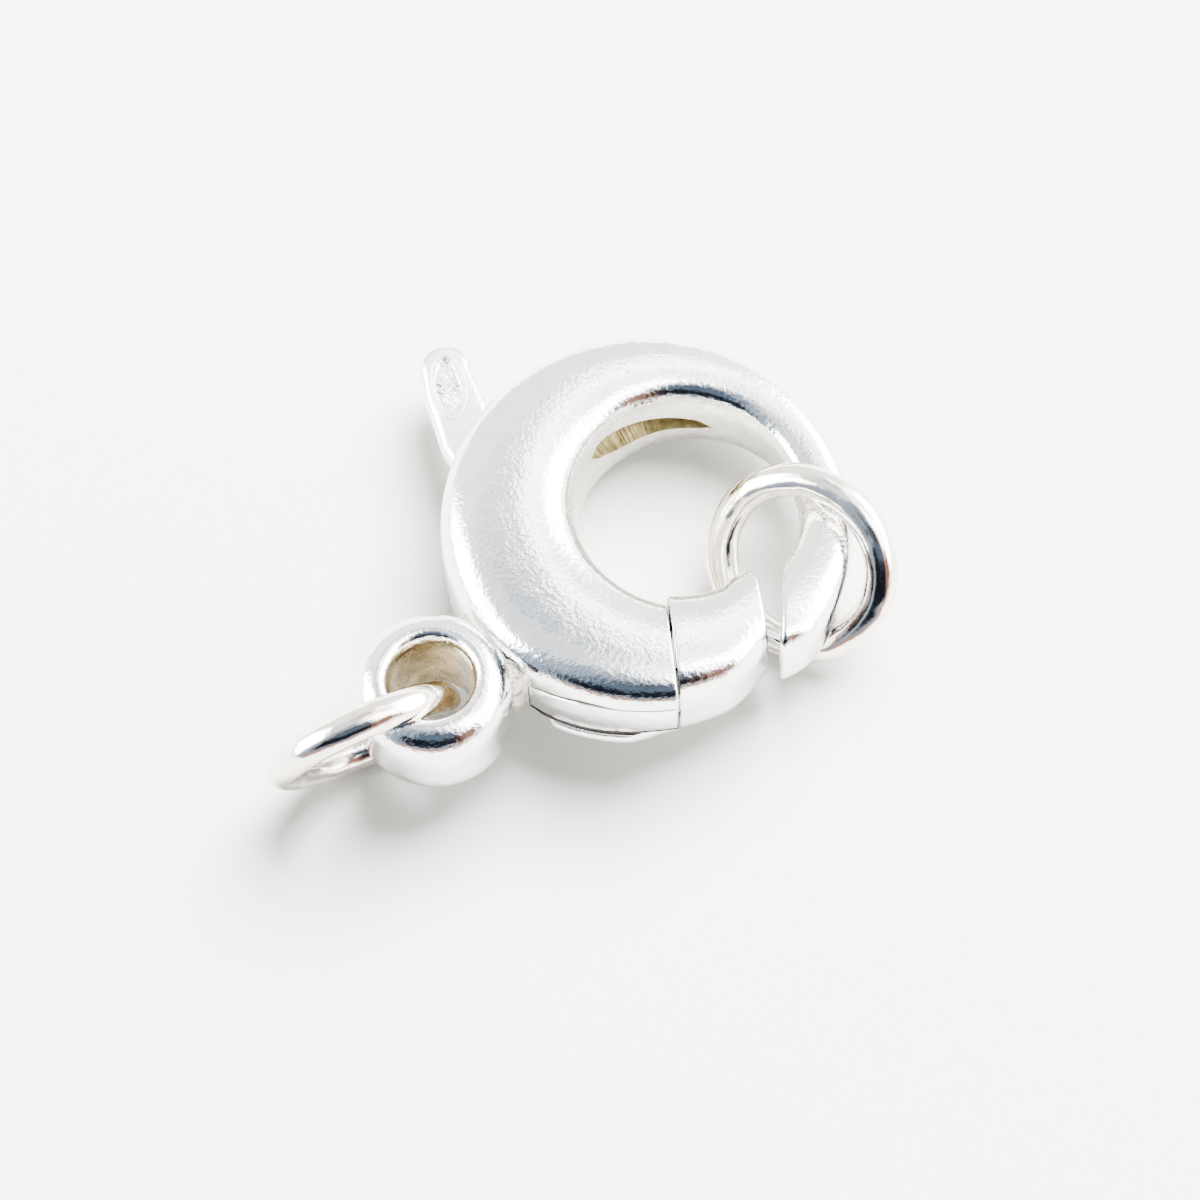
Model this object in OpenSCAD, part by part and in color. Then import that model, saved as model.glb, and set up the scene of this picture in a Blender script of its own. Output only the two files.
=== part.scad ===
// Round trigger clasp in cast silver, lying on a flat surface with a jump ring at each end.
// The plan is drawn about the centre of the round opening, with the tail bail towards -Y,
// and the middle plane of the casting at height 0. lay() then leans the whole clasp as it
// rests: its far side on the surface, its hook tip on the wire of the hook's jump ring.

/* [Hook ring] */
// Radius of the round opening
hole_r = 2.8; // [2.6:0.05:2.9]
// Radius of the outer edge, a circle set off towards the tail
outer_r = 5.15; // [5:0.05:5.25]
// Offset of the outer circle across the clasp
outer_x = -0.26; // [-0.3:0.01:-0.2]
// Offset of the outer circle towards the tail
outer_y = -1.06; // [-1.1:0.01:-1]
// Half height of the ring at its thin arm
thin_h = 0.8; // [0.7:0.05:0.9]
// Half height of the ring at its full belly
full_h = 1.9; // [1.8:0.05:2]
// Direction of the full belly, in degrees from +X
full_dir = 240; // [235:1:245]
// Roundness of the crown, where 2 is an ellipse
crown_n = 2.45; // [2.2:0.05:2.8]
// Steepness of the side walls, where 2 is an ellipse
wall_n = 4.5; // [3:0.1:5]

/* [Tail bail] */
// Distance of the bail's centre from the centre of the opening
bail_at = 7.92; // [7.85:0.01:8]
// Outer radius of the bail
bail_r = 1.95; // [1.9:0.01:1.98]
// Radius of the bail's throat
throat_r = 0.98; // [0.96:0.01:1.02]
// Half height of the bail
bail_h = 1.32; // [1.25:0.01:1.33]
// Half width of the neck between the bail and the ring
neck_w = 1.45; // [1.3:0.05:1.5]
// Half height of the neck
neck_h = 1.05; // [0.9:0.05:1.1]

/* [Lever] */
// Distance of the pivot from the centre line, towards +X
pivot_x = 0.6; // [0.55:0.01:0.65]
// Distance of the pivot from the centre of the opening, along Y
pivot_y = -5.2; // [-5.25:0.01:-5.15]
// Radius of the pivot pin
pin_r = 0.38; // [0.34:0.01:0.38]
// Half thickness of the lever's band, arm and fin
lever_h = 0.64; // [0.56:0.01:0.64]
// Width of the band that shows along the outer wall
band_w = 0.95; // [0.85:0.05:0.95]
// Angle by which the gate sits inside the line of the ring
gate_sit = 5; // [4.6:0.1:5.1]
// Radius of the round end of the trigger fin
fin_r = 0.68; // [0.6:0.01:0.7]
// Reach of the trigger fin's round end from the centre of the opening
fin_reach = 4.13; // [4.05:0.01:4.2]
// Depth of the oval panel on each face of the fin
panel_d = 0.12; // [0.08:0.01:0.15]

/* [Jump rings] */
// Radius of the wire
wire_r = 0.43; // [0.4:0.01:0.43]
// Radius of each jump ring to the middle of its wire
link_r = 2.15; // [2.13:0.01:2.16]

/* [Hidden] */

silver = [0.86, 0.86, 0.87];

// How the clasp lies: it leans about a line at lean_dir in its plan
lean = 6.5;
lean_dir = 51.6;
mid_height = 2.092;
centre_x = 1.322;
centre_y = 4.096;

// Gaps between the lever and the body
slot_gap = 0.06;
pin_gap = 0.02;
hub_gap = 0.05;

// The ring form's swelling: 1 rises as a plain cosine, less is fuller
swell = 0.6;
ring_points = 24;

// The outer edge draws in by end_draw towards each free end, from one direction to another
end_draw = 0.36;
tip_ends = [5, -15];
gate_ends = [330, 350];
// The gate's inner edge rises in a low hump near its end, from 340 degrees onwards
hump_h = 0.13;
hump_from = 340;
hump_turn = 8;

// Faces that end the gate and the hook tip, each square to a direction
seam_dir = 58.2;
seam_at = -0.81;
seam_gap = 0.06;
gate_end_dir = 62;
gate_end_at = 1.33;
corner_dir = 124;
corner_at = -1.376;
tip_dir = 51.6;
tip_at = 2.31;

bail_n = 3.3;
hub_r = 0.75;
slot_h = lever_h + slot_gap;
slot_inner_r = 3.3;
slot_start = 287;
band_start = 289;
arm_dir = 158.7;
arm_w = 0.5;

// The hollow that shows in the far inner wall
groove_from = 127;
groove_to = 199;
groove_h = 0.45;
groove_r = 3.7;

function outer_reach(t) =
    let (along = outer_x * cos(t) + outer_y * sin(t))
    along + sqrt(along * along - outer_x * outer_x - outer_y * outer_y + outer_r * outer_r);

function half_height(t) =
    thin_h + (full_h - thin_h) * pow((1 + cos(t - full_dir)) / 2, swell);

// Rises smoothly from 0 to 1 while x goes from 0 to 1
function ease(x) = pow(sin(90 * min(1, max(0, x))), 2);

// A cosine or sine drawn out towards a square by the roundness n
function squared(c, n) = sign(c) * pow(abs(c), 2 / n);

// Point s of the ring's section that stands at direction t
function section_point(t, s, ends, hump) =
    let (inner = hole_r - hump * ease((t - hump_from) / hump_turn),
         outer = outer_reach(t) - end_draw * ease((t - ends[0]) / (ends[1] - ends[0])),
         half_w = (outer - inner) / 2,
         r = inner + half_w + half_w * squared(cos(s), crown_n),
         z = half_height(t) * squared(sin(s), wall_n))
    [r * cos(t), r * sin(t), z];

// Section angles, shifted by half a step so that none falls on a crest
function section_angle(j) = 360 * (j + 0.5) / ring_points;

module swept_ring(from, to, steps, ends, hump) {
    n = ring_points;
    rings = [for (i = [0 : steps], j = [0 : n - 1])
        section_point(from + (to - from) * i / steps, section_angle(j), ends, hump)];
    sides = [for (i = [0 : steps - 1], j = [0 : n - 1], half = [0, 1])
        let (a = i * n + j, b = i * n + (j + 1) % n)
        half == 0 ? [a, b, b + n] : [a, b + n, a + n]];
    first = [[for (j = [n - 1 : -1 : 0]) j]];
    last = [[for (j = [0 : n - 1]) steps * n + j]];
    polyhedron(rings, concat(sides, first, last), convexity = 10);
}

// A block that covers everything past a face: x from at onwards, y between two limits
module past(dir, at, reach, low, high) {
    rotate([0, 0, dir])
        translate([at, low, -3])
            cube([reach, high - low, 6]);
}

module at_pivot() {
    translate([pivot_x, pivot_y, 0]) children();
}

// Part of a flat ring about the outer circle's centre
module band(inner, outer, from, to, half_h) {
    translate([outer_x, outer_y, 0])
        rotate([0, 0, from])
            rotate_extrude(angle = to - from, $fn = 96)
                translate([inner, -half_h])
                    square([outer - inner, 2 * half_h]);
}

module slab(half_h) {
    translate([0, 0, -half_h])
        linear_extrude(2 * half_h)
            children();
}

module bail_form() {
    mid_r = (bail_r + throat_r) / 2;
    half_w = (bail_r - throat_r) / 2;
    steps = 32;
    translate([0, -bail_at, 0])
        rotate_extrude($fn = 96)
            polygon([for (i = [0 : steps - 1])
                let (s = 360 * (i + 0.5) / steps)
                [mid_r + half_w * squared(cos(s), crown_n), bail_h * squared(sin(s), bail_n)]]);
}

module neck() {
    top = -bail_at + 2.3;
    bottom = -bail_at + 1;
    slab(neck_h)
        polygon([[-neck_w, top], [neck_w, top], [neck_w - 0.1, bottom], [1 - neck_w, bottom],
                 [0.1 - neck_w, bottom]]);
}

// Space for the lever's arm on the trigger side, from rest to fully open
module arm_slot() {
    far = 9;
    upper = 155;
    lower = 172;
    w = arm_w + slot_gap;
    function off(dir, side) = w * [cos(dir - 90 * side), sin(dir - 90 * side)];
    function out(dir) = far * [cos(dir), sin(dir)];
    at_pivot() slab(slot_h)
        polygon([off(upper, 1), out(upper) + off(upper, 1),
                 out(lower) + off(lower, -1), off(lower, -1)]);
}

module lay() {
    translate([centre_x, centre_y, mid_height])
        rotate(a = -lean, v = [cos(lean_dir), sin(lean_dir), 0])
            children();
}

module clasp_body() {
    color(silver) lay() difference() {
        union() {
            swept_ring(-16, 330, 72, tip_ends, 0);
            bail_form();
            neck();
        }
        past(seam_dir, seam_at - seam_gap / 2, 1.2, -7, -1.5);
        past(tip_dir, tip_at - 1.8, 1.8, -5.6, -1.2);
        band(slot_inner_r, outer_r + 0.2, slot_start, 345, slot_h);
        at_pivot() slab(slot_h) circle(hub_r + slot_gap, $fn = 48);
        arm_slot();
        at_pivot() cylinder(r = pin_r + pin_gap, h = 2 * (slot_h + 0.57), center = true, $fn = 48);
        rotate([0, 0, groove_from])
            rotate_extrude(angle = groove_to - groove_from, $fn = 96)
                translate([hole_r - 0.5, -groove_h])
                    square([groove_r - hole_r + 0.5, 2 * groove_h]);
    }
}

// The fin's outline, drawn with +Y along the fin and then turned by tip_dir
module fin_outline() {
    steps = 12;
    end = [-6.14, fin_reach];
    round_end = [for (i = [0 : steps]) end + fin_r * [cos(180 * i / steps), sin(180 * i / steps)]];
    rotate([0, 0, tip_dir])
        polygon(concat(round_end,
            [[-6.66, 3.25], [-6.42, 2.55], [-6.2, 1.8], [-5.85, 1.2],
             [-5.4, 1.3], [-4.85, 2.3], [-4.98, 3]]));
}

// The fin's sunk oval, in the same turned plan
module fin_panel() {
    steps = 32;
    rotate([0, 0, tip_dir])
        translate([-6.05, 3.5])
            rotate([0, 0, 10])
                polygon([for (i = [0 : steps - 1])
                    [0.38 * cos(360 * i / steps), 0.85 * sin(360 * i / steps)]]);
}

// The gate: a length of the ring form, cut off at the seam and at its free end
module gate() {
    difference() {
        sit() swept_ring(296, 374, 26, gate_ends, hump_h);
        past(seam_dir, seam_at + seam_gap / 2 - 4, 4, -8, 1);
        past(gate_end_dir, gate_end_at, 3, -6, 1);
        past(corner_dir, corner_at, 2, -3.2, -1);
    }
}

module sit() {
    at_pivot() rotate([0, 0, gate_sit]) translate([-pivot_x, -pivot_y, 0]) children();
}

module lever() {
    arm_l = 5.4;
    color(silver) lay() difference() {
        union() {
            gate();
            sit() band(outer_r - band_w, outer_r - 0.02, band_start, 340, lever_h);
            at_pivot() slab(lever_h) circle(hub_r, $fn = 48);
            at_pivot() rotate([0, 0, arm_dir]) translate([0, -arm_w, -lever_h])
                cube([arm_l, 2 * arm_w, 2 * lever_h]);
            slab(lever_h) fin_outline();
        }
        at_pivot() cylinder(r = pin_r + hub_gap, h = 4, center = true, $fn = 48);
        for (side = [-1, 1])
            translate([0, 0, side * lever_h]) slab(panel_d) fin_panel();
    }
}

module pivot_pin() {
    color(silver) lay() at_pivot()
        cylinder(r = pin_r, h = 2 * (slot_h + 0.55), center = true, $fn = 48);
}

// A wire ring standing square to a direction
module jump_ring(at, turn, tip) {
    color(silver) translate(at + [centre_x, centre_y, 0]) rotate([0, tip, turn])
        rotate_extrude($fn = 96)
            translate([link_r, 0])
                circle(wire_r, $fn = 32);
}

module tail_jump_ring() {
    jump_ring([-0.405, -9.775, 2.56], 166.3, 81.3);
}

module hook_jump_ring() {
    jump_ring([2.569, 1.57, 1.9], 284.8, 43.1);
}

clasp_body();
lever();
pivot_pin();
tail_jump_ring();
hook_jump_ring();
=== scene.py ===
"""A round trigger clasp in polished silver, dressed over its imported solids.

Sizes are millimetres in the clasp's own plan: the centre of the round opening is the origin,
the tail bail lies towards -Y, and the middle plane of the casting is height 0. Lie leans the
plan as the clasp rests and turns it into metres in the frame that all the pieces share.
"""

import logging
import math
from dataclasses import dataclass
from enum import Enum
from typing import Callable, ClassVar, Optional, Union

import bmesh
import bpy
import numpy as np
from mathutils import Matrix, Vector


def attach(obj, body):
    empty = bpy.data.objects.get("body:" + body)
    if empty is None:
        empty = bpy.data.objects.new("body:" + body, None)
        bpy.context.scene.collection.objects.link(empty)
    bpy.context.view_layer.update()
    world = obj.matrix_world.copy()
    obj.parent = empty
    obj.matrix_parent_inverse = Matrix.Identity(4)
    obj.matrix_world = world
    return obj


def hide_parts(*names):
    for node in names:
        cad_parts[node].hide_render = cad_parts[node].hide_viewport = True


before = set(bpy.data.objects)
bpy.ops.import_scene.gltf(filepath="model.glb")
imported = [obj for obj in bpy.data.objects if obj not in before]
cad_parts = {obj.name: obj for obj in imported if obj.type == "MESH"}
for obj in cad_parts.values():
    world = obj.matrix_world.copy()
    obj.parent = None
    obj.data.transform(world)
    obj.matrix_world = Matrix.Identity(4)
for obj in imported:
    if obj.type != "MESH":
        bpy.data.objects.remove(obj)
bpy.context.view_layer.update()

Array = np.ndarray
Form = Callable[[Array, Array], Array]
Faces = list[tuple[int, ...]]
Closed = tuple[Array, Faces]
Place = tuple[float, float]
Colour = tuple[float, float, float]
Socket = bpy.types.NodeSocket

MM = 0.001

# An edge shorter than this, in millimetres, is a sliver.
SLIVER = 0.001

# Scales of the loops that close an end of a form, from its edge inwards.
CAP_RINGS = (0.97, 0.85, 0.6, 0.3)

# Half the turn, in degrees, over which the slope of a surface is measured.
SLOPE_TURN = 0.05

# How many points a circle and an arc of the plan have.
DISC_STEPS = 96
ARC_STEPS = 120

LOG = logging.getLogger("clasp")


class Slot(Enum):
    """The record's material slots."""

    CAST = "cast_silver"
    WIRE = "silver_wire"


class Join(Enum):
    """How one closed form is joined to another."""

    ADD = "UNION"
    CUT = "DIFFERENCE"


class Skin(Enum):
    """The finishes of one casting, by their place in its material list; three of them carry painted shade
    or painted reflection.
    """

    POLISHED = 0
    # Dark khaki: painted shade and reflection inside the hollow, on a rough surface.
    HOLLOW = 1
    # Near black: painted shade on the faces inside the seams, the slot and the bores.
    SEAM = 2
    # Warm: painted reflection between the walls of the bail's hole, on a rougher surface.
    THROAT = 3
    CAST = 4
    GROUND = 5
    PEBBLED = 6
    SATIN = 7


Skins = dict[Skin, bpy.types.Material]


def squared(wave: Array, roundness: float) -> Array:
    """Draws a cosine or sine out towards a square."""
    return np.sign(wave) * np.abs(wave) ** (2 / roundness)


def ease(x: Array) -> Array:
    """Rises smoothly from 0 to 1 while x goes from 0 to 1."""
    return np.sin(np.pi / 2 * np.clip(x, 0, 1)) ** 2


def unit(direction: float) -> Array:
    """The plan's unit vector at a direction in degrees."""
    angle = math.radians(direction)
    return np.array([math.cos(angle), math.sin(angle), 0.0])


def turned(points: Array, degrees: float, about: Place = (0.0, 0.0)) -> Array:
    """Turns points about an upright line of the plan.

    Args:
        points: Points, with x, y and z in the last axis.
        degrees: Angle of the turn.
        about: Where the line stands in the plan.

    Returns:
        The turned points.
    """
    angle = math.radians(degrees)
    x = points[..., 0] - about[0]
    y = points[..., 1] - about[1]
    across = about[0] + x * math.cos(angle) - y * math.sin(angle)
    along = about[1] + x * math.sin(angle) + y * math.cos(angle)
    return np.stack([across, along, points[..., 2]], -1)


@dataclass(frozen=True)
class Lie:
    """How the clasp rests.

    Attributes:
        lean: Lean of its plan, in degrees.
        lean_dir: Direction of the level line that it leans about.
        centre: Where the plan's origin lies in the shared frame.
    """

    lean: float = -6.5
    lean_dir: float = 51.6
    centre: tuple[float, float, float] = (1.322, 4.096, 2.092)

    def place(self, points: Array) -> Array:
        """Takes points to the shared frame.

        Args:
            points: Points of the plan, in millimetres.

        Returns:
            The same points in metres, in the shared frame.
        """
        axis = unit(self.lean_dir)
        angle = math.radians(self.lean)
        along = (points @ axis)[:, None] * axis
        across = np.cross(axis, points)
        leaned = along + (points - along) * math.cos(angle) + across * math.sin(angle)
        return (leaned + np.array(self.centre)) * MM


@dataclass(frozen=True)
class RingShape:
    """The crescent ring that the body and the gate share, about the centre of its opening.

    Attributes:
        hole_r: Radius of the opening.
        outer_r: Radius of the outer edge.
        outer_at: Centre of the outer edge.
        thin_h: Half height where the ring is thinnest.
        full_h: Half height where it is fullest.
        full_dir: Direction in which it is fullest.
        thin_crown_n: Squareness of the thinnest section across its crown.
        full_crown_n: The same where it is fullest.
        thin_wall_n: Squareness of the thinnest section's walls.
        full_wall_n: The same where it is fullest.
        swell: How fast the height grows towards the fullest place.
        end_draw: How far the outer edge draws in at a free end.
        tip_ends: Directions between which it does so at the hook tip.
        gate_ends: Directions between which it does so on the gate.
        hump_from: Direction from which the inner edge of the gate rises in a hump.
        hump_turn: Angle over which it rises.
        even_at: Direction of the section that the points are spaced on.
        even_steps: How many points its length is measured at.
        section_points: How many points each section has.
    """

    hole_r: float = 2.8
    outer_r: float = 5.14
    outer_at: Place = (-0.26, -1.06)
    thin_h: float = 0.8
    full_h: float = 1.892
    full_dir: float = 240.0
    thin_crown_n: float = 2.45
    full_crown_n: float = 2.6
    thin_wall_n: float = 4.5
    full_wall_n: float = 5.2
    swell: float = 0.6
    end_draw: float = 0.36
    tip_ends: Place = (5.0, -15.0)
    gate_ends: Place = (330.0, 350.0)
    hump_from: float = 340.0
    hump_turn: float = 8.0
    even_at: float = 250.0
    even_steps: int = 20001
    section_points: int = 132

    def outer_reach(self, turn: Array) -> Array:
        """Distance of the outer edge from the opening's centre.

        Args:
            turn: Directions from the opening's centre, in degrees.

        Returns:
            The distance in each direction.
        """
        angle = np.radians(turn)
        along = self.outer_at[0] * np.cos(angle) + self.outer_at[1] * np.sin(angle)
        offset = self.outer_at[0] ** 2 + self.outer_at[1] ** 2
        return along + np.sqrt(along**2 - offset + self.outer_r**2)

    def fullness(self, turn: Array) -> Array:
        """0 where the ring is thinnest, 1 where it is fullest."""
        return (1 + np.cos(np.radians(turn - self.full_dir))) / 2

    def half_height(self, turn: Array) -> Array:
        """Half the ring's height at a direction."""
        return self.thin_h + (self.full_h - self.thin_h) * self.fullness(turn) ** self.swell

    def point(self, turn: Array, section: Array, ends: Place, hump: float = 0.0) -> Array:
        """A point of the ring's surface.

        Args:
            turn: Direction of the section from the opening's centre, in degrees.
            section: Angle round the section, in radians, 0 at the outer wall.
            ends: Directions between which the outer edge draws in towards a free end.
            hump: Height of the low hump on the inner edge near the gate's end.

        Returns:
            The points, with x, y and z in the last axis.
        """
        inner = self.hole_r - hump * ease((turn - self.hump_from) / self.hump_turn)
        drawn = self.end_draw * ease((turn - ends[0]) / (ends[1] - ends[0]))
        half_w = (self.outer_reach(turn) - drawn - inner) / 2
        full = self.fullness(turn)
        crown_n = self.thin_crown_n + (self.full_crown_n - self.thin_crown_n) * full
        wall_n = self.thin_wall_n + (self.full_wall_n - self.thin_wall_n) * full
        reach = inner + half_w + half_w * squared(np.cos(section), crown_n)
        height = self.half_height(turn) * squared(np.sin(section), wall_n)
        angle = np.radians(turn)
        return np.stack([reach * np.cos(angle), reach * np.sin(angle), height], -1)

    def sections(self) -> Array:
        """Section angles that lie evenly along the section's outline.

        Returns:
            The angles, in radians.
        """
        count = self.section_points
        fine = np.linspace(0, 2 * np.pi, self.even_steps)
        outline = self.point(np.full_like(fine, self.even_at), fine, self.tip_ends)
        steps = np.linalg.norm(np.diff(outline, axis=0), axis=1)
        length = np.concatenate([[0], np.cumsum(steps)])
        return np.interp((np.arange(count) + 0.5) / count * length[-1], length, fine)


@dataclass(frozen=True)
class SlotLayer:
    """One layer of the slot in which the lever's band lies.

    Attributes:
        inner: Distance of its back from the centre of the outer edge.
        outer: Distance of its front.
        below: Gap below the band.
        above: Gap above the band.
        faded: Whether the gaps start from nothing and the upper one closes towards the gate.
    """

    inner: float
    outer: float
    below: float
    above: float
    faded: bool


@dataclass(frozen=True)
class Ledge:
    """The rounded ledge that stands out below the band and draws in at both ends.

    Attributes:
        start: Direction in which it starts.
        reach: Distance of its middle at its ends.
        out: How much further out it stands between them.
        half_w: Half its width.
        half_h: Half its height.
        gap: Gap between it and the band.
        roundness: Squareness of its section.
        swell_over: Angle over which it swells at its start.
        draw_over: Angle over which it draws in at its finish.
        rows: How many sections it has.
        points: How many points each section has.
    """

    start: float = 288.0
    reach: float = 4.78
    out: float = 0.26
    half_w: float = 0.17
    half_h: float = 0.26
    gap: float = 0.16
    roundness: float = 2.4
    swell_over: float = 8.0
    draw_over: float = 16.0
    rows: int = 100
    points: int = 48


@dataclass(frozen=True)
class Taper:
    """What is cut off the wall below the band, so that it draws in towards the gate.

    Attributes:
        start: Direction from which the wall draws in.
        finish: Direction in which the cut ends.
        over: Angle over which it deepens.
        reach: Distance of its back where it starts.
        deepens: How much it deepens.
        foot: How much further in its back stands at its foot.
        outside: Distance of its outer side, past the wall.
        bottom: Height of its foot, below the casting.
        gap: Gap between it and the band.
        rows: How many sections it has.
    """

    start: float = 316.0
    finish: float = 340.0
    over: float = 15.0
    reach: float = 5.16
    deepens: float = 0.34
    foot: float = 0.3
    outside: float = 6.0
    bottom: float = -2.4
    gap: float = 0.1
    rows: int = 60


@dataclass(frozen=True)
class BandShape:
    """The lever's band in the outer wall, its slot and the ledge below it.

    Attributes:
        start: Direction in which the band starts, beside the neck.
        finish: Direction in which it runs into the gate.
        at: Centre of the outer edge, which it follows.
        turns: Directions at which its edges are given.
        highs: Heights of its upper edge there.
        lows: Heights of its lower edge there.
        back_r: Distance of its back from that centre.
        face_r: Distance of its face.
        rounding: Steps of its rounded edges, out from the face and in from the edge.
        clearance: The slot through the wall.
        groove: The shallow groove that shows as a dark seam on both sides of the band, its cut faces in
            painted shade.
        lead: Angle by which the slot starts before the band.
        slot_end: Direction in which the slot ends, past the gate's seam.
        clear: Least gap above the band.
        opens_over: Angle over which the groove opens.
        shut_at: Direction in which the groove's upper part is shut.
        shuts_over: Angle over which it shuts.
        rows: How many sections the band has.
        slot_rows: How many sections each layer of the slot has.
        ledge: The ledge below it.
        taper: The cut below it, beside the gate.
    """

    start: float = 287.4
    finish: float = 330.0
    at: Place = RingShape.outer_at
    turns: tuple[float, ...] = (287.0, 292.0, 297.0, 303.0, 309.0, 316.0, 323.0, 330.0)
    highs: tuple[float, ...] = (0.36, 0.45, 0.57, 0.72, 0.80, 0.84, 0.85, 0.85)
    lows: tuple[float, ...] = (-0.74, -0.74, -0.72, -0.66, -0.56, -0.44, -0.32, -0.26)
    back_r: float = 4.2
    face_r: float = 5.13
    rounding: tuple[Place, ...] = ((0.05, 0.0), (0.015, 0.02), (0.0, 0.06))
    clearance: SlotLayer = SlotLayer(inner=3.3, outer=5.35, below=0.07, above=0.03, faded=False)
    groove: SlotLayer = SlotLayer(inner=5.1, outer=5.35, below=0.17, above=0.2, faded=True)
    lead: float = 0.2
    slot_end: float = 345.0
    clear: float = 0.004
    opens_over: float = 4.0
    shut_at: float = 318.0
    shuts_over: float = 16.0
    rows: int = 120
    slot_rows: int = 110
    ledge: Ledge = Ledge()
    taper: Taper = Taper()

    def edges(self, turn: float) -> Place:
        """Heights of the lower and the upper edge at a direction."""
        low = float(np.interp(turn, self.turns, self.lows))
        return low, float(np.interp(turn, self.turns, self.highs))

    def loop(self, turn: float, corners: tuple[Place, ...]) -> Array:
        """A section across the wall.

        Args:
            turn: Its direction from the centre of the outer edge, in degrees.
            corners: Pairs of reach and height.

        Returns:
            The section's points.
        """
        centre = np.array([*self.at, 0.0])
        return np.array([centre + unit(turn) * reach + np.array([0.0, 0.0, z]) for reach, z in corners])

    def slot(self, layer: SlotLayer) -> Closed:
        """A layer of the slot that the band lies in, open at the gate.

        Args:
            layer: Its depth and gaps.

        Returns:
            The form to cut away.
        """
        rows = []
        for turn in np.linspace(self.start - self.lead, self.slot_end, self.slot_rows):
            low, high = self.edges(turn)
            opens = float(ease((turn - self.start) / self.opens_over)) if layer.faded else 1.0
            shuts = float(ease((self.shut_at - turn) / self.shuts_over)) if layer.faded else 1.0
            floor = low - layer.below * opens
            top = high + self.clear + layer.above * opens * shuts
            corners = ((layer.inner, floor), (layer.outer, floor), (layer.outer, top), (layer.inner, top))
            rows.append(self.loop(turn, corners))
        return closed_form(rows)

    def ledge_form(self) -> Closed:
        """The ledge below the band.

        Returns:
            The form to add.
        """
        ledge = self.ledge
        swing = np.linspace(0, 2 * np.pi, ledge.points, endpoint=False)
        across = ledge.half_w * squared(np.cos(swing), ledge.roundness)
        upwards = ledge.half_h * squared(np.sin(swing), ledge.roundness)
        rows = []
        for turn in np.linspace(ledge.start, self.finish, ledge.rows):
            swells = ease((turn - ledge.start) / ledge.swell_over)
            full = float(swells * ease((self.finish - turn) / ledge.draw_over))
            reach = ledge.reach + ledge.out * full + across
            height = self.edges(turn)[0] - ledge.gap - ledge.half_h + upwards
            rows.append(self.loop(turn, tuple(zip(reach, height))))
        return closed_form(rows)

    def taper_form(self) -> Closed:
        """The cut in the wall below the band.

        Returns:
            The form to cut away.
        """
        taper = self.taper
        rows = []
        for turn in np.linspace(taper.start, taper.finish, taper.rows):
            top = self.edges(turn)[0] - taper.gap
            back = taper.reach - taper.deepens * float(ease((turn - taper.start) / taper.over))
            foot = (back - taper.foot, taper.bottom)
            corners = (foot, (taper.outside, taper.bottom), (taper.outside, top), (back, top))
            rows.append(self.loop(turn, corners))
        return closed_form(rows)

    def band(self) -> Closed:
        """The band itself, flush with the wall, with rounded edges.

        Returns:
            The form to add to the lever.
        """
        rows = []
        for turn in np.linspace(self.start, self.finish, self.rows):
            low, high = self.edges(turn)
            lower = [(self.face_r - back, low + rise) for back, rise in self.rounding]
            upper = [(self.face_r - back, high - rise) for back, rise in reversed(self.rounding)]
            rows.append(self.loop(turn, ((self.back_r, low), *lower, *upper, (self.back_r, high))))
        return closed_form(rows)


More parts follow.
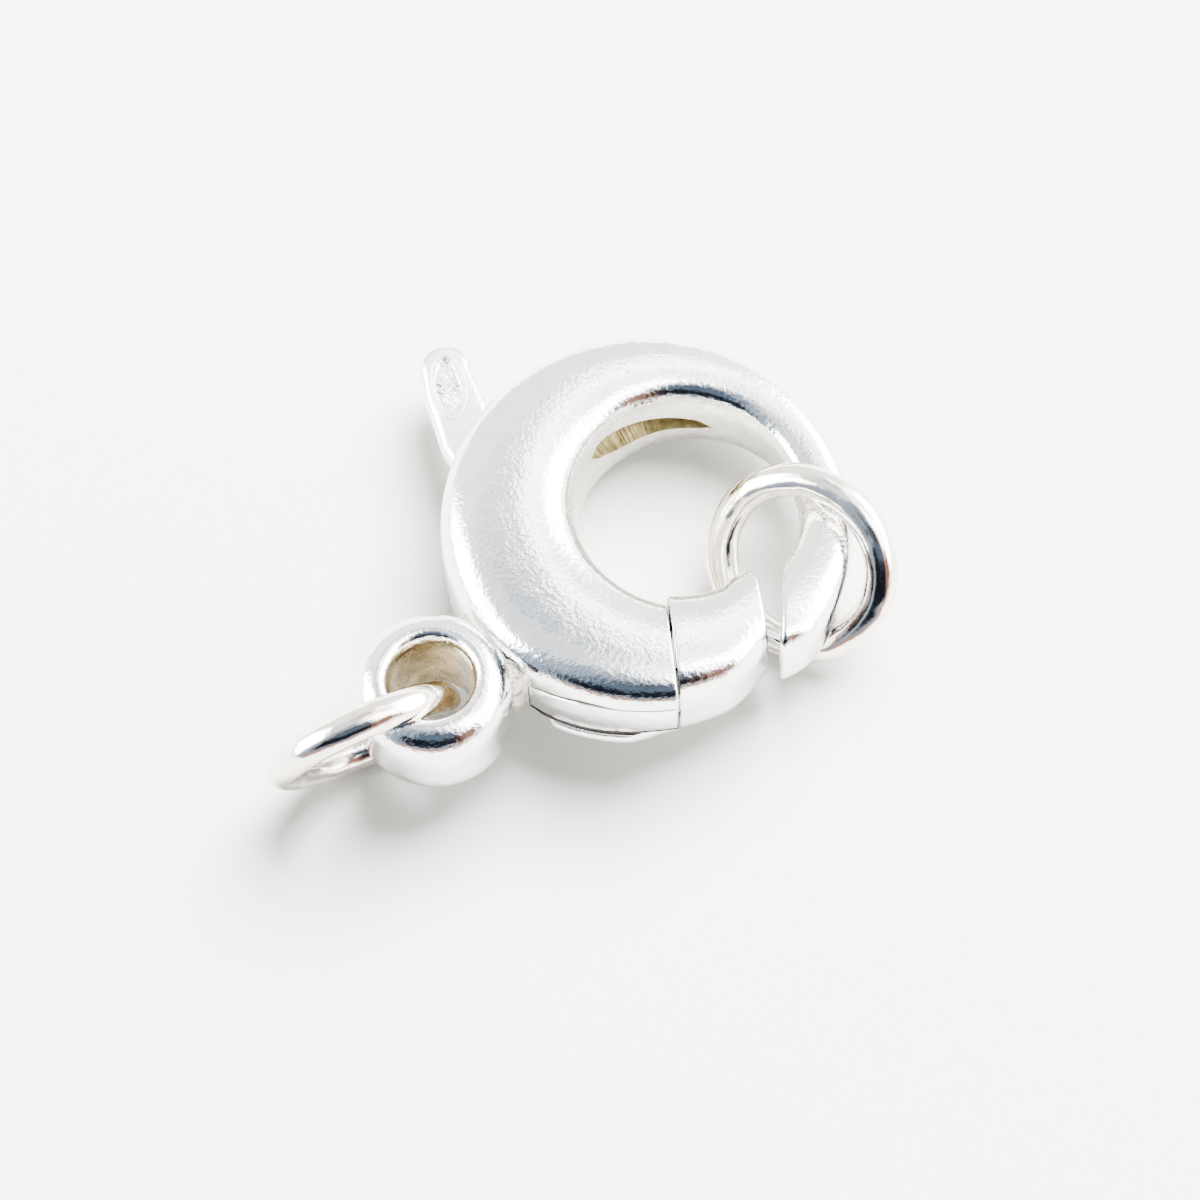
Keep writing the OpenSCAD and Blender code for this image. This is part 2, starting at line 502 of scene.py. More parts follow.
@dataclass(frozen=True)
class End:
    """A free end of a swept form: a face square to a direction, with a rounded edge.

    Attributes:
        direction: Direction of the face's normal, in degrees.
        at: Distance of the face along that direction.
        keeps: 1 where the form lies past the face, -1 where it lies before it.
        outside: A turn that is surely cut away.
        inside: A turn that surely stays.
        round_r: Radius of the edge.
        corner: How far the inner corner is set back, for a rounder corner in plan.
        INNER_FROM: Where round the section that corner starts, 0 at its middle and 1 inside.
        CORNER_DROP: How much of the set-back the surface drops by as well.
        ROUND_STEPS: How many steps the rounding has.
        HALVINGS: How often a span is halved to find where a section line is cut.
        SQUARE: How closely a face of the mesh has to face along the end's normal.
        GATE_SIDE: Least x of the end's faces, which keeps the ring's far side out.
    """

    INNER_FROM: ClassVar[float] = 0.35
    CORNER_DROP: ClassVar[float] = 0.6
    ROUND_STEPS: ClassVar[int] = 6
    HALVINGS: ClassVar[int] = 40
    SQUARE: ClassVar[float] = 0.97
    GATE_SIDE: ClassVar[float] = 0.5

    direction: float
    at: float
    keeps: int
    outside: float
    inside: float
    round_r: float
    corner: float = 0.0

    def depth(self, points: Array) -> Array:
        """Distance of points behind the face, on the side that stays."""
        return self.keeps * (points @ unit(self.direction) - self.at)

    def near(self, point: Array, normal: Array) -> bool:
        """Whether a face of the mesh lies on the flat of the end, on the side of the gate.

        Args:
            point: The middle of that face.
            normal: Its normal.

        Returns:
            True where it does.
        """
        square = abs(float(normal @ unit(self.direction))) > self.SQUARE
        return square and bool(abs(self.depth(point)) < self.round_r and point[0] > self.GATE_SIDE)

    def turns(self, form: Form, section: Array, depth: Array) -> Array:
        """The turn at which each section line reaches a depth behind the face.

        Args:
            form: The swept form.
            section: Angles of the section lines.
            depth: Depth that each one has to reach.

        Returns:
            The turns, in degrees.
        """
        low = np.full_like(section, self.outside)
        high = np.full_like(section, self.inside)
        for _ in range(self.HALVINGS):
            middle = (low + high) / 2
            kept = self.depth(form(middle, section)) > depth
            high = np.where(kept, middle, high)
            low = np.where(kept, low, middle)
        return (low + high) / 2

    def rows(self, form: Form, section: Array) -> tuple[list[Array], Array]:
        """Rows of points round the edge, from the face inwards.

        Args:
            form: The swept form.
            section: Angles of the section lines.

        Returns:
            The rows, and the turns of the last one.
        """
        set_back = self.corner * ease((-np.cos(section) - self.INNER_FROM) / (1 - self.INNER_FROM))
        rows = []
        turns = section
        for step in range(self.ROUND_STEPS + 1):
            swing = math.pi / 2 * (1 - step / self.ROUND_STEPS)
            depth = self.round_r * (1 - math.sin(swing)) + set_back
            turns = self.turns(form, section, depth)
            outward = surface_normals(form, turns, section)
            drop = (self.round_r + self.CORNER_DROP * set_back) * (1 - math.cos(swing))
            rows.append(form(turns, section) - outward * np.expand_dims(drop, -1))
        return rows, turns


def surface_normals(form: Form, turns: Array, section: Array) -> Array:
    """Outward normals of a swept form at its own points.

    Args:
        form: The swept form.
        turns: Turn of each point.
        section: Section angle of each point.

    Returns:
        The normals.
    """
    along = form(turns + SLOPE_TURN, section) - form(turns - SLOPE_TURN, section)
    here = form(turns, section)
    round_about = np.roll(here, -1, 0) - np.roll(here, 1, 0)
    normals = np.cross(round_about, along)
    normals /= np.linalg.norm(normals, axis=-1, keepdims=True)
    outwards = np.sum(normals * (here - here.mean(0)), -1).sum()
    return normals if outwards > 0 else -normals


def grid_faces(rows: int, count: int) -> Faces:
    """Quads between rows of points that run in closed loops.

    Args:
        rows: How many loops there are.
        count: How many points each one has.

    Returns:
        The faces.
    """
    faces = []
    for row in range(rows - 1):
        for j in range(count):
            a = row * count + j
            b = row * count + (j + 1) % count
            faces.append((a, b, b + count, a + count))
    return faces


def lidded(loops: list[Array]) -> Closed:
    """Joins loops of points into a form with a flat face at both ends.

    Args:
        loops: Loops of equal length, from one end to the other.

    Returns:
        The points and the faces.
    """
    count = len(loops[0])
    last = (len(loops) - 1) * count
    faces = grid_faces(len(loops), count)
    faces.append(tuple(range(count)))
    faces.append(tuple(last + j for j in range(count)))
    return np.concatenate(loops), faces


def closed_form(rows: list[Array], caps: bool = True) -> Closed:
    """Joins loops of points into a closed form.

    Args:
        rows: Loops of equal length, from one end to the other.
        caps: Whether the two ends are closed; if not, the last loop meets the first.

    Returns:
        The points and the faces.
    """
    if caps:
        starts = [rows[0].mean(0) + (rows[0] - rows[0].mean(0)) * s for s in reversed(CAP_RINGS)]
        finishes = [rows[-1].mean(0) + (rows[-1] - rows[-1].mean(0)) * s for s in CAP_RINGS]
        return lidded(starts + list(rows) + finishes)
    count = len(rows[0])
    last = (len(rows) - 1) * count
    faces = grid_faces(len(rows), count)
    for j in range(count):
        k = (j + 1) % count
        faces.append((last + j, last + k, k, j))
    return np.concatenate(rows), faces


def swept(form: Form, section: Array, start: End, end: End, rows: int) -> Closed:
    """A length of a swept form between two faces with rounded edges.

    Args:
        form: The surface, from a turn and a section angle.
        section: Angles of the section lines.
        start: The end that it starts from.
        end: The end that it runs to.
        rows: How many steps lie between them.

    Returns:
        The points and the faces.
    """
    first, first_turns = start.rows(form, section)
    last, last_turns = end.rows(form, section)
    middle = []
    for i in range(1, rows):
        turns = first_turns + (last_turns - first_turns) * i / rows
        middle.append(form(turns, section))
    return closed_form(first + middle + last[::-1])


def prism(outline: Array, low: float, high: float) -> Closed:
    """A flat outline given a height.

    Args:
        outline: Its points, with x and y in the last axis.
        low: Height of its floor.
        high: Height of its top.

    Returns:
        The points and the faces.
    """
    return lidded([np.column_stack([outline, np.full(len(outline), z)]) for z in (low, high)])


def arc(radius: float, start: float, finish: float, steps: int, about: Place) -> Array:
    """Points along an arc of the plan.

    Args:
        radius: Its radius.
        start: Direction of its first point, in degrees.
        finish: Direction of its last point.
        steps: How many points it has.
        about: Its centre.

    Returns:
        The points, with x and y in the last axis.
    """
    angles = np.radians(np.linspace(start, finish, steps))
    return np.column_stack([about[0] + radius * np.cos(angles), about[1] + radius * np.sin(angles)])


def disc(radius: float, about: Place) -> Array:
    """The outline of a circle."""
    return arc(radius, 0, 360 * (1 - 1 / DISC_STEPS), DISC_STEPS, about)


def ring_band(inner: float, outer: float, start: float, finish: float, about: Place) -> Array:
    """The outline of part of a flat ring."""
    outside = arc(outer, start, finish, ARC_STEPS, about)
    return np.concatenate([outside, arc(inner, finish, start, ARC_STEPS, about)])


def smoothed(corners: Array, count: int, passes: int) -> Array:
    """Spaces a closed outline evenly and rounds its corners.

    Args:
        corners: The outline's corners.
        count: How many points it gets.
        passes: How many times it is rounded.

    Returns:
        The points of the outline.
    """
    loop = np.concatenate([corners, corners[:1]])
    length = np.concatenate([[0], np.cumsum(np.linalg.norm(np.diff(loop, axis=0), axis=1))])
    even = np.linspace(0, length[-1], count, endpoint=False)
    points = np.column_stack([np.interp(even, length, loop[:, k]) for k in (0, 1)])
    for _ in range(passes):
        points = (np.roll(points, 1, 0) + 2 * points + np.roll(points, -1, 0)) / 4
    return points


def make_object(name: str, form: Closed) -> bpy.types.Object:
    """Makes a mesh object whose faces all point outwards.

    Args:
        name: Its name.
        form: Its points and faces.

    Returns:
        The object, in the scene.
    """
    points, faces = form
    mesh = bpy.data.meshes.new(name)
    mesh.from_pydata([tuple(p) for p in points], [], faces)
    work = bmesh.new()
    work.from_mesh(mesh)
    bmesh.ops.recalc_face_normals(work, faces=work.faces)
    work.to_mesh(mesh)
    work.free()
    piece = bpy.data.objects.new(name, mesh)
    bpy.context.scene.collection.objects.link(piece)
    return piece


class Casting:
    """A piece of cast silver that is built up from closed forms.

    Attributes:
        skins: Its materials.
        shape: Its object, whose mesh grows with each form.
    """

    def __init__(self, name: str, form: Closed, skins: Skins) -> None:
        """Makes the first form.

        Args:
            name: The piece's name.
            form: Its first form.
            skins: Its materials.
        """
        self.skins = skins
        self.shape = make_object(name, form)
        self.wear(self.shape.data)

    def wear(self, mesh: bpy.types.Mesh) -> None:
        """Gives a mesh all the materials in the order of Skin."""
        for skin in Skin:
            mesh.materials.append(self.skins[skin])

    def join(self, form: Closed, how: Join, skin: Skin) -> None:
        """Adds a closed form or cuts it away.

        Args:
            form: The form.
            how: Whether it is added or cut away.
            skin: What the new faces wear.
        """
        tool = make_object("tool", form)
        self.wear(tool.data)
        tool.data.polygons.foreach_set("material_index", [skin.value] * len(tool.data.polygons))
        step = self.shape.modifiers.new("join", "BOOLEAN")
        step.operation = how.value
        step.solver = "MANIFOLD"
        step.material_mode = "INDEX"
        step.object = tool
        shown = bpy.context.evaluated_depsgraph_get()
        result = bpy.data.meshes.new_from_object(self.shape.evaluated_get(shown))
        if len(result.polygons) == len(self.shape.data.polygons):
            LOG.warning("%s: a %s left it as it was", self.shape.name, how.name)
        self.shape.modifiers.clear()
        self.shape.data = result
        bpy.data.objects.remove(tool)

    def add(self, form: Closed, skin: Skin = Skin.POLISHED) -> None:
        """Adds a closed form."""
        self.join(form, Join.ADD, skin)

    def cut(self, form: Closed, skin: Skin = Skin.SEAM) -> None:
        """Cuts a closed form away; by default its new faces get the near-black painted shade of a gap."""
        self.join(form, Join.CUT, skin)

    def clean(self) -> None:
        """Takes out the slivers and loose points that joining leaves."""
        work = bmesh.new()
        work.from_mesh(self.shape.data)
        bmesh.ops.triangulate(work, faces=[face for face in work.faces if len(face.verts) > 4])
        bmesh.ops.dissolve_degenerate(work, edges=work.edges, dist=SLIVER)
        bmesh.ops.delete(work, geom=[spot for spot in work.verts if not spot.link_faces], context="VERTS")
        work.to_mesh(self.shape.data)
        work.free()

    def paint(self, skin: Skin, covers: Callable[[Vector, Vector], bool]) -> None:
        """Gives a skin to some of the polished faces.

        Args:
            skin: The skin.
            covers: Says from a face's middle and normal whether it gets the skin.
        """
        for face in self.shape.data.polygons:
            if face.material_index == Skin.POLISHED.value and covers(face.center, face.normal):
                face.material_index = skin.value


class Tree:
    """Builds the nodes of one material, or of the world, with short calls.

    Attributes:
        tree: The node tree.
    """

    def __init__(self, tree: bpy.types.NodeTree) -> None:
        """Keeps the tree."""
        self.tree = tree

    def add(self, kind: str, **settings: object) -> bpy.types.Node:
        """Adds a node and sets its fields.

        Args:
            kind: The node's type.
            **settings: Its fields.

        Returns:
            The node.
        """
        node = self.tree.nodes.new(kind)
        for key, value in settings.items():
            setattr(node, key, value)
        return node

    def link(self, source: Socket, target: Socket) -> None:
        """Joins two sockets."""
        self.tree.links.new(source, target)

    def mix(self, share: Socket, under: Union[Colour, Socket], over: Union[Colour, Socket]) -> Socket:
        """Lays one colour over another.

        Args:
            share: How much of the upper colour shows.
            under: The lower colour, or its socket.
            over: The upper colour, or its socket.

        Returns:
            The blend.
        """
        node = self.add("ShaderNodeMix", data_type="RGBA")
        self.link(share, node.inputs["Factor"])
        places = [socket for socket in node.inputs if socket.type == "RGBA"]
        for socket, colour in zip(places, (under, over)):
            if isinstance(colour, tuple):
                socket.default_value = (*colour, 1.0)
            else:
                self.link(colour, socket)
        return next(socket for socket in node.outputs if socket.type == "RGBA")


class Nodes(Tree):
    """Builds one material's nodes.

    Attributes:
        material: The material.
        shader: Its shader.
        CLOUD_LOW: The noise's value below which it counts as low.
        CLOUD_HIGH: The noise's value above which it counts as high.
    """

    CLOUD_LOW: ClassVar[float] = 0.3
    CLOUD_HIGH: ClassVar[float] = 0.7

    def __init__(self, name: str) -> None:
        """Makes the material and finds its shader.

        Args:
            name: The material's name.
        """
        self.material = bpy.data.materials.new(name)
        self.material.use_nodes = True
        super().__init__(self.material.node_tree)
        self.shader = self.tree.nodes["Principled BSDF"]

    def place(self) -> Socket:
        """The piece's own coordinates in millimetres.

        Returns:
            The coordinates.
        """
        where = self.add("ShaderNodeTexCoord")
        scale = self.add("ShaderNodeMapping")
        scale.inputs["Scale"].default_value = (1 / MM, 1 / MM, 1 / MM)
        self.link(where.outputs["Object"], scale.inputs["Vector"])
        return scale.outputs["Vector"]

    def noise(self, place: Socket, texture: Place) -> Socket:
        """Cloudy noise.

        Args:
            place: The coordinates.
            texture: Its features per millimetre and its detail.

        Returns:
            The noise.
        """
        cloud = self.add("ShaderNodeTexNoise")
        cloud.inputs["Scale"].default_value, cloud.inputs["Detail"].default_value = texture
        self.link(place, cloud.inputs["Vector"])
        return cloud.outputs["Fac"]

    def spread(self, source: Socket, low: float, high: float) -> Socket:
        """Spreads the middle of a noise, between CLOUD_LOW and CLOUD_HIGH, over a range.

        Args:
            source: The noise.
            low: What its low parts become.
            high: What its high parts become.

        Returns:
            The range's value.
        """
        fit = self.add("ShaderNodeMapRange")
        fit.inputs["From Min"].default_value = self.CLOUD_LOW
        fit.inputs["From Max"].default_value = self.CLOUD_HIGH
        fit.inputs["To Min"].default_value = low
        fit.inputs["To Max"].default_value = high
        self.link(source, fit.inputs["Value"])
        return fit.outputs["Result"]

    def bump(self, height: Socket, depth_mm: float, normal: Optional[Socket] = None) -> Socket:
        """Turns a height into a normal.

        Args:
            height: The height.
            depth_mm: How deep it is.
            normal: A normal that it lies on.

        Returns:
            The new normal.
        """
        relief = self.add("ShaderNodeBump")
        relief.inputs["Strength"].default_value = 1.0
        relief.inputs["Distance"].default_value = depth_mm * MM
        self.link(height, relief.inputs["Height"])
        if normal is not None:
            self.link(normal, relief.inputs["Normal"])
        return relief.outputs["Normal"]


@dataclass(frozen=True)
class PolishedSilver:
    """Polished silver: bright, faintly uneven, with a fine orange-peel grain.

    Attributes:
        name: The material's name.
        bright: Its colour where it is cleanest.
        dull: Its colour where it is faintly tarnished.
        rough_low: Roughness where the polish is best.
        rough_high: Roughness where it is worn.
        grain_mm: Depth of the grain.
        wave_mm: Depth of the slow waves in the surface.
        edge_mm: Radius of the edges.
        tarnish: Features per millimetre and detail of the tarnish.
        wear: The same of the wear.
        waves: The same of the waves.
        grain: The same of the grain.
    """

    name: str
    bright: Colour = (0.98, 0.975, 0.95)
    dull: Colour = (0.80, 0.82, 0.84)
    rough_low: float = 0.04
    rough_high: float = 0.12
    grain_mm: float = 0.011
    wave_mm: float = 0.008
    edge_mm: float = 0.035
    tarnish: Place = (2.2, 8.0)
    wear: Place = (3.0, 4.0)
    waves: Place = (1.6, 1.0)
    grain: Place = (9.0, 2.0)

    def build(self) -> bpy.types.Material:
        """Makes the material.

        Returns:
            The material.
        """
        nodes = Nodes(self.name)
        place = nodes.place()
        tint = nodes.mix(nodes.spread(nodes.noise(place, self.tarnish), 0, 1), self.dull, self.bright)
        nodes.link(tint, nodes.shader.inputs["Base Color"])
        nodes.shader.inputs["Metallic"].default_value = 1.0
        rough = nodes.spread(nodes.noise(place, self.wear), self.rough_low, self.rough_high)
        nodes.link(rough, nodes.shader.inputs["Roughness"])
        edge = nodes.add("ShaderNodeBevel", samples=4)
        edge.inputs["Radius"].default_value = self.edge_mm * MM
        wave = nodes.bump(nodes.noise(place, self.waves), self.wave_mm, edge.outputs["Normal"])
        grain = nodes.bump(nodes.noise(place, self.grain), self.grain_mm, wave)
        nodes.link(grain, nodes.shader.inputs["Normal"])
        return nodes.material


@dataclass(frozen=True)
class RawSilver:
    """Silver that the polishing wheel didn't reach, cloudy in colour and grainy; it also carries the
    painted shade of the seams and the hollow and the warm painted reflection in the bail's hole.

    Attributes:
        name: The material's name.
        light: Its lightest colour.
        dark: Its darkest colour.
        rough_low: Least roughness.
        rough_high: Most roughness.
        grain_mm: Depth of the grain.
        metal: How metallic it is.
        cloud: Features per millimetre and detail of the colour's clouds.
        wear: The same of the roughness.
        grain: The same of the grain.
    """

    name: str
    light: Colour
    dark: Colour
    rough_low: float = 0.35
    rough_high: float = 0.6
    grain_mm: float = 0.012
    metal: float = 0.9
    cloud: Place = (3.0, 5.0)
    wear: Place = (9.0, 2.0)
    grain: Place = (12.0, 3.0)

    def build(self) -> bpy.types.Material:
        """Makes the material.

        Returns:
            The material.
        """
        nodes = Nodes(self.name)
        place = nodes.place()
        tint = nodes.mix(nodes.spread(nodes.noise(place, self.cloud), 0, 1), self.dark, self.light)
        nodes.link(tint, nodes.shader.inputs["Base Color"])
        nodes.shader.inputs["Metallic"].default_value = self.metal
        rough = nodes.spread(nodes.noise(place, self.wear), self.rough_low, self.rough_high)
        nodes.link(rough, nodes.shader.inputs["Roughness"])
        grain = nodes.bump(nodes.noise(place, self.grain), self.grain_mm)
        nodes.link(grain, nodes.shader.inputs["Normal"])
        return nodes.material


@dataclass(frozen=True)
class PaleTable:
    """The pale matt surface that the clasp lies on.

    Attributes:
        name: The material's name.
        colour: Its colour.
        mottle: How much darker its darker parts are.
        rough: Its roughness.
        cloud: Features per millimetre and detail of the mottle.
        grain: The same of its grain.
        grain_mm: Depth of the grain.
    """

    name: str
    colour: Colour = (0.88, 0.876, 0.838)
    mottle: float = 0.985
    rough: float = 0.75
    cloud: Place = (2.0, 3.0)
    grain: Place = (6.0, 3.0)
    grain_mm: float = 0.004

    def build(self) -> bpy.types.Material:
        """Makes the material.

        Returns:
            The material.
        """
        nodes = Nodes(self.name)
        place = nodes.place()
        shade = tuple(c * self.mottle for c in self.colour)
        tint = nodes.mix(nodes.spread(nodes.noise(place, self.cloud), 0, 1), shade, self.colour)
        nodes.link(tint, nodes.shader.inputs["Base Color"])
        nodes.shader.inputs["Roughness"].default_value = self.rough
        grain = nodes.bump(nodes.noise(place, self.grain), self.grain_mm)
        nodes.link(grain, nodes.shader.inputs["Normal"])
        return nodes.material


class Piece:
    """A finished piece: its mesh in the shared frame, its finish, and what it stands for.

    Attributes:
        shape: Its object.
    """

    def __init__(self, shape: bpy.types.Object, lie: Optional[Lie] = None) -> None:
        """Sets the mesh in the shared frame.

        Args:
            shape: Its object.
            lie: How the clasp rests, for a mesh that is still in the plan.
        """
        self.shape = shape
        if lie is not None:
            mesh = shape.data
            points = np.empty(len(mesh.vertices) * 3)
            mesh.vertices.foreach_get("co", points)
            mesh.vertices.foreach_set("co", lie.place(points.reshape(-1, 3)).ravel())
            mesh.update()

    def dress(self, finish: bpy.types.Material) -> None:
        """Gives the piece its finish."""
        self.shape.data.materials.append(finish)

    def smooth(self, sharp_from: float = 38.0) -> None:
        """Shades the piece smoothly, apart from its sharp edges."""
        self.shape.data.shade_smooth()
        self.shape.data.set_sharp_from_angle(angle=math.radians(sharp_from))

    def stand_for(self, node: str, body: str, slot: Slot) -> None:
        """Takes the place of a solid of the shared frame.

        Args:
            node: The solid's name.
            body: The body that it rides on.
            slot: Its material slot; not used.
        """
        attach(self.shape, body)
        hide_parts(node)
        triangles = sum(len(face.vertices) - 2 for face in self.shape.data.polygons)
        LOG.info("%s: %d triangles, stands for %s on %s", self.shape.name, triangles, node, body)


@dataclass(frozen=True)
class Pivot:
    """The lever's pivot and the clearances round it.

    Attributes:
        at: Its place in the plan.
        body_bore_r: Radius of the body's bore for the pin.
        body_bore_h: Half the length of that bore.
        lever_bore_r: Radius of the lever's bore.
        lever_bore_h: Half the length of the cut that makes it, past both ends of the hub.
        hub_r: Radius of the lever's hub.
        lever_h: Half the height of the hub.
        arm_half: Half the width of the lever's arm.
        gap: Gap round the hub and the arm.
    """

    at: Place = (0.6, -5.2)
    body_bore_r: float = 0.40
    body_bore_h: float = 1.27
    lever_bore_r: float = 0.43
    lever_bore_h: float = 1.0
    hub_r: float = 0.75
    lever_h: float = 0.64
    arm_half: float = 0.5
    gap: float = 0.06


@dataclass(frozen=True)
class Bail:
    """The round tail bail, whose crown slopes outwards like a cone.

    Attributes:
        at: Distance of its centre from the centre of the opening.
        throat_r: Radius of its hole.
        throat_h: Half height of the hole's wall, which gets a warm painted reflection.
        throat_near: How far out from the hole's wall a face still counts as its wall.
        top: Its section above the middle plane, as pairs of reach and height.
        under: How high the section is below the middle plane, against above it.
        points: How many points the section has.
        passes: How many times its corners are rounded.
        rows: How many sections it has.
    """

    at: float = 7.92
    throat_r: float = 0.98
    throat_h: float = 1.2
    throat_near: float = 0.03
    top: tuple[Place, ...] = (
        (1.97, 0.0), (1.97, 0.5), (1.94, 0.84), (1.85, 1.12), (1.66, 1.34), (1.45, 1.47),
        (1.25, 1.52), (1.12, 1.45), (1.02, 1.24), (0.98, 0.9), (0.98, 0.0),
    )
    under: float = 0.95
    points: int = 92
    passes: int = 5
    rows: int = 180

    def form(self) -> Closed:
        """The bail itself.

        Returns:
            The form to add.
        """
        top = np.array(self.top)
        below = top[::-1][1:-1] * np.array([1.0, -self.under])
        section = smoothed(np.concatenate([top, below]), self.points, self.passes)
        rows = []
        for side in np.linspace(0, 2 * np.pi, self.rows, endpoint=False):
            x = section[:, 0] * math.cos(side)
            y = section[:, 0] * math.sin(side) - self.at
            rows.append(np.column_stack([x, y, section[:, 1]]))
        return closed_form(rows, caps=False)

    def in_throat(self, middle: Vector, _: Vector) -> bool:
        """Whether a face lies on the wall of the hole."""
        within = math.hypot(middle.x, middle.y + self.at) < self.throat_r + self.throat_near
        return within and abs(middle.z) < self.throat_h


@dataclass(frozen=True)
class Neck:
    """The neck between ring and bail, waisted and creased as it was cast.

    Attributes:
        ring_y: Where it starts, inside the ring.
        bail_y: Where it ends, inside the bail.
        rows: How many sections it has.
        points: How many points each section has.
        half: Half its width and half its height.
        roundness: Squareness of its section across and up.
        waist: How much it draws in at its middle.
        flare: How much it widens at the ring.
        spread: How much its width and height grow towards the bail.
        crease: Depth of its creases.
        crease_rate: How close the creases lie.
        lump: Size of the cast lumps.
        lump_passes: How many times they are smoothed.
        under: How deep it is below the middle plane, against above it.
        under_less: How much of that is lost towards the bail.
        under_from: Share of its length from which it is lost.
        under_over: Share of its length over which it is lost.
        seed: Seed of the lumps.
    """

    ring_y: float = -5.5
    bail_y: float = -6.95
    rows: int = 37
    points: int = 160
    half: Place = (1.28, 1.05)
    roundness: Place = (5.0, 4.0)
    waist: float = 0.14
    flare: float = 0.06
    spread: Place = (0.3, 0.2)
    crease: float = 0.05
    crease_rate: float = 17.0
    lump: float = 0.08
    lump_passes: int = 3
    under: float = 1.25
    under_less: float = 0.5
    under_from: float = 0.45
    under_over: float = 0.5
    seed: int = 4

    def lumps(self) -> Array:
        """Smooth random lumps, a row of them for each section.

        Returns:
            Their heights.
        """
        lumps = np.random.default_rng(self.seed).standard_normal((self.rows, self.points))
        for _ in range(self.lump_passes):
            lumps = (lumps + np.roll(lumps, 1, 1) + np.roll(lumps, -1, 1)) / 3
            lumps[1:-1] = (lumps[2:] + lumps[1:-1] + lumps[:-2]) / 3
        return lumps

    def form(self) -> Closed:
        """The neck itself.

        Returns:
            The form to add.
        """
        swing = np.linspace(0, 2 * np.pi, self.points, endpoint=False)
        across = squared(np.cos(swing), self.roundness[0])
        upwards = squared(np.sin(swing), self.roundness[1])
        lumps = self.lumps()
        rows = []
        for row, y in enumerate(np.linspace(self.ring_y, self.bail_y, self.rows)):
            share = row / (self.rows - 1)
            waist = self.waist * math.sin(math.pi * share)
            flare = self.flare * (1 - share) ** 2
            crease = self.crease * math.sin(self.crease_rate * share) * share
            rough = 1 + self.lump * lumps[row] + crease * np.abs(np.cos(swing))
            x = (self.half[0] - waist + flare + self.spread[0] * share**2) * across * rough
            z = (self.half[1] - waist + flare + self.spread[1] * share**2) * upwards * rough
            under = self.under - self.under_less * float(ease((share - self.under_from) / self.under_over))
            rows.append(np.column_stack([x, np.full_like(x, y), np.where(z < 0, under * z, z)]))
        return closed_form(rows)


@dataclass(frozen=True)
class Hollow:
    """The long hollow in the far inner wall, pointed at both ends and ragged below, whose faces carry a
    dark khaki painted shade.

    Attributes:
        start: Direction in which it starts.
        finish: Direction in which it ends.
        rows: How many sections it has.
        front_r: Reach of the cut's front, inside the opening.
        wall_r: Reach of the wall.
        depth: How deep it goes.
        points_over: Share of its length over which it opens at its start and shuts at its end.
        top: Height of its upper edge at its start.
        top_rise: How much that edge rises.
        top_over: Directions between which it rises.
        floor: Height of its lower edge at its start.
        floor_rise: How much that edge rises.
        floor_over: Directions between which it rises.
        ragged: How ragged its lower edge is.
        ragged_over: Directions between which it grows ragged.
        ragged_carry: How much of it carries on from one section to the next.
        flat: Share of its height in which its back is flat.
        thinnest: Half its height at its two points.
        seed: Seed of the ragged edge.
    """

    start: float = 126.5
    finish: float = 201.5
    rows: int = 301
    front_r: float = 2.3
    wall_r: float = 2.84
    depth: float = 0.5
    points_over: Place = (0.14, 0.1)
    top: float = -0.05
    top_rise: float = 0.9
    top_over: Place = (127.0, 189.0)
    floor: float = -0.33
    floor_rise: float = 0.62
    floor_over: Place = (176.0, 202.0)
    ragged: float = 0.03
    ragged_over: Place = (150.0, 170.0)
    ragged_carry: float = 0.5
    flat: float = 0.5
    thinnest: float = 0.012
    seed: int = 11

    def form(self) -> Closed:
        """The hollow itself.

        Returns:
            The form to cut away.
        """
        rng = np.random.default_rng(self.seed)
        ragged = 0.0
        rows = []
        for turn in np.linspace(self.start, self.finish, self.rows):
            top, floor, rough = (
                (turn - over[0]) / (over[1] - over[0])
                for over in (self.top_over, self.floor_over, self.ragged_over)
            )
            share = (turn - self.start) / (self.finish - self.start)
            opened = float(ease(share / self.points_over[0]) * ease((1 - share) / self.points_over[1]))
            high = self.top + self.top_rise * min(1.0, top)
            low = self.floor + self.floor_rise * float(ease(floor))
            ragged = self.ragged_carry * ragged + self.ragged * rng.random() * float(ease(rough))
            middle = (high + low) / 2
            half = max(self.thinnest, (high - low) / 2 * opened)
            mouth = middle - half - ragged * opened
            back_r = self.wall_r + self.depth * opened
            flat = half * self.flat
            profile = (
                (self.front_r, mouth), (self.wall_r, mouth), (back_r, middle - flat),
                (back_r, middle + flat), (self.wall_r, middle + half), (self.front_r, middle + half),
            )
            rows.append(np.array([unit(turn) * reach + np.array([0.0, 0.0, z]) for reach, z in profile]))
        return closed_form(rows)


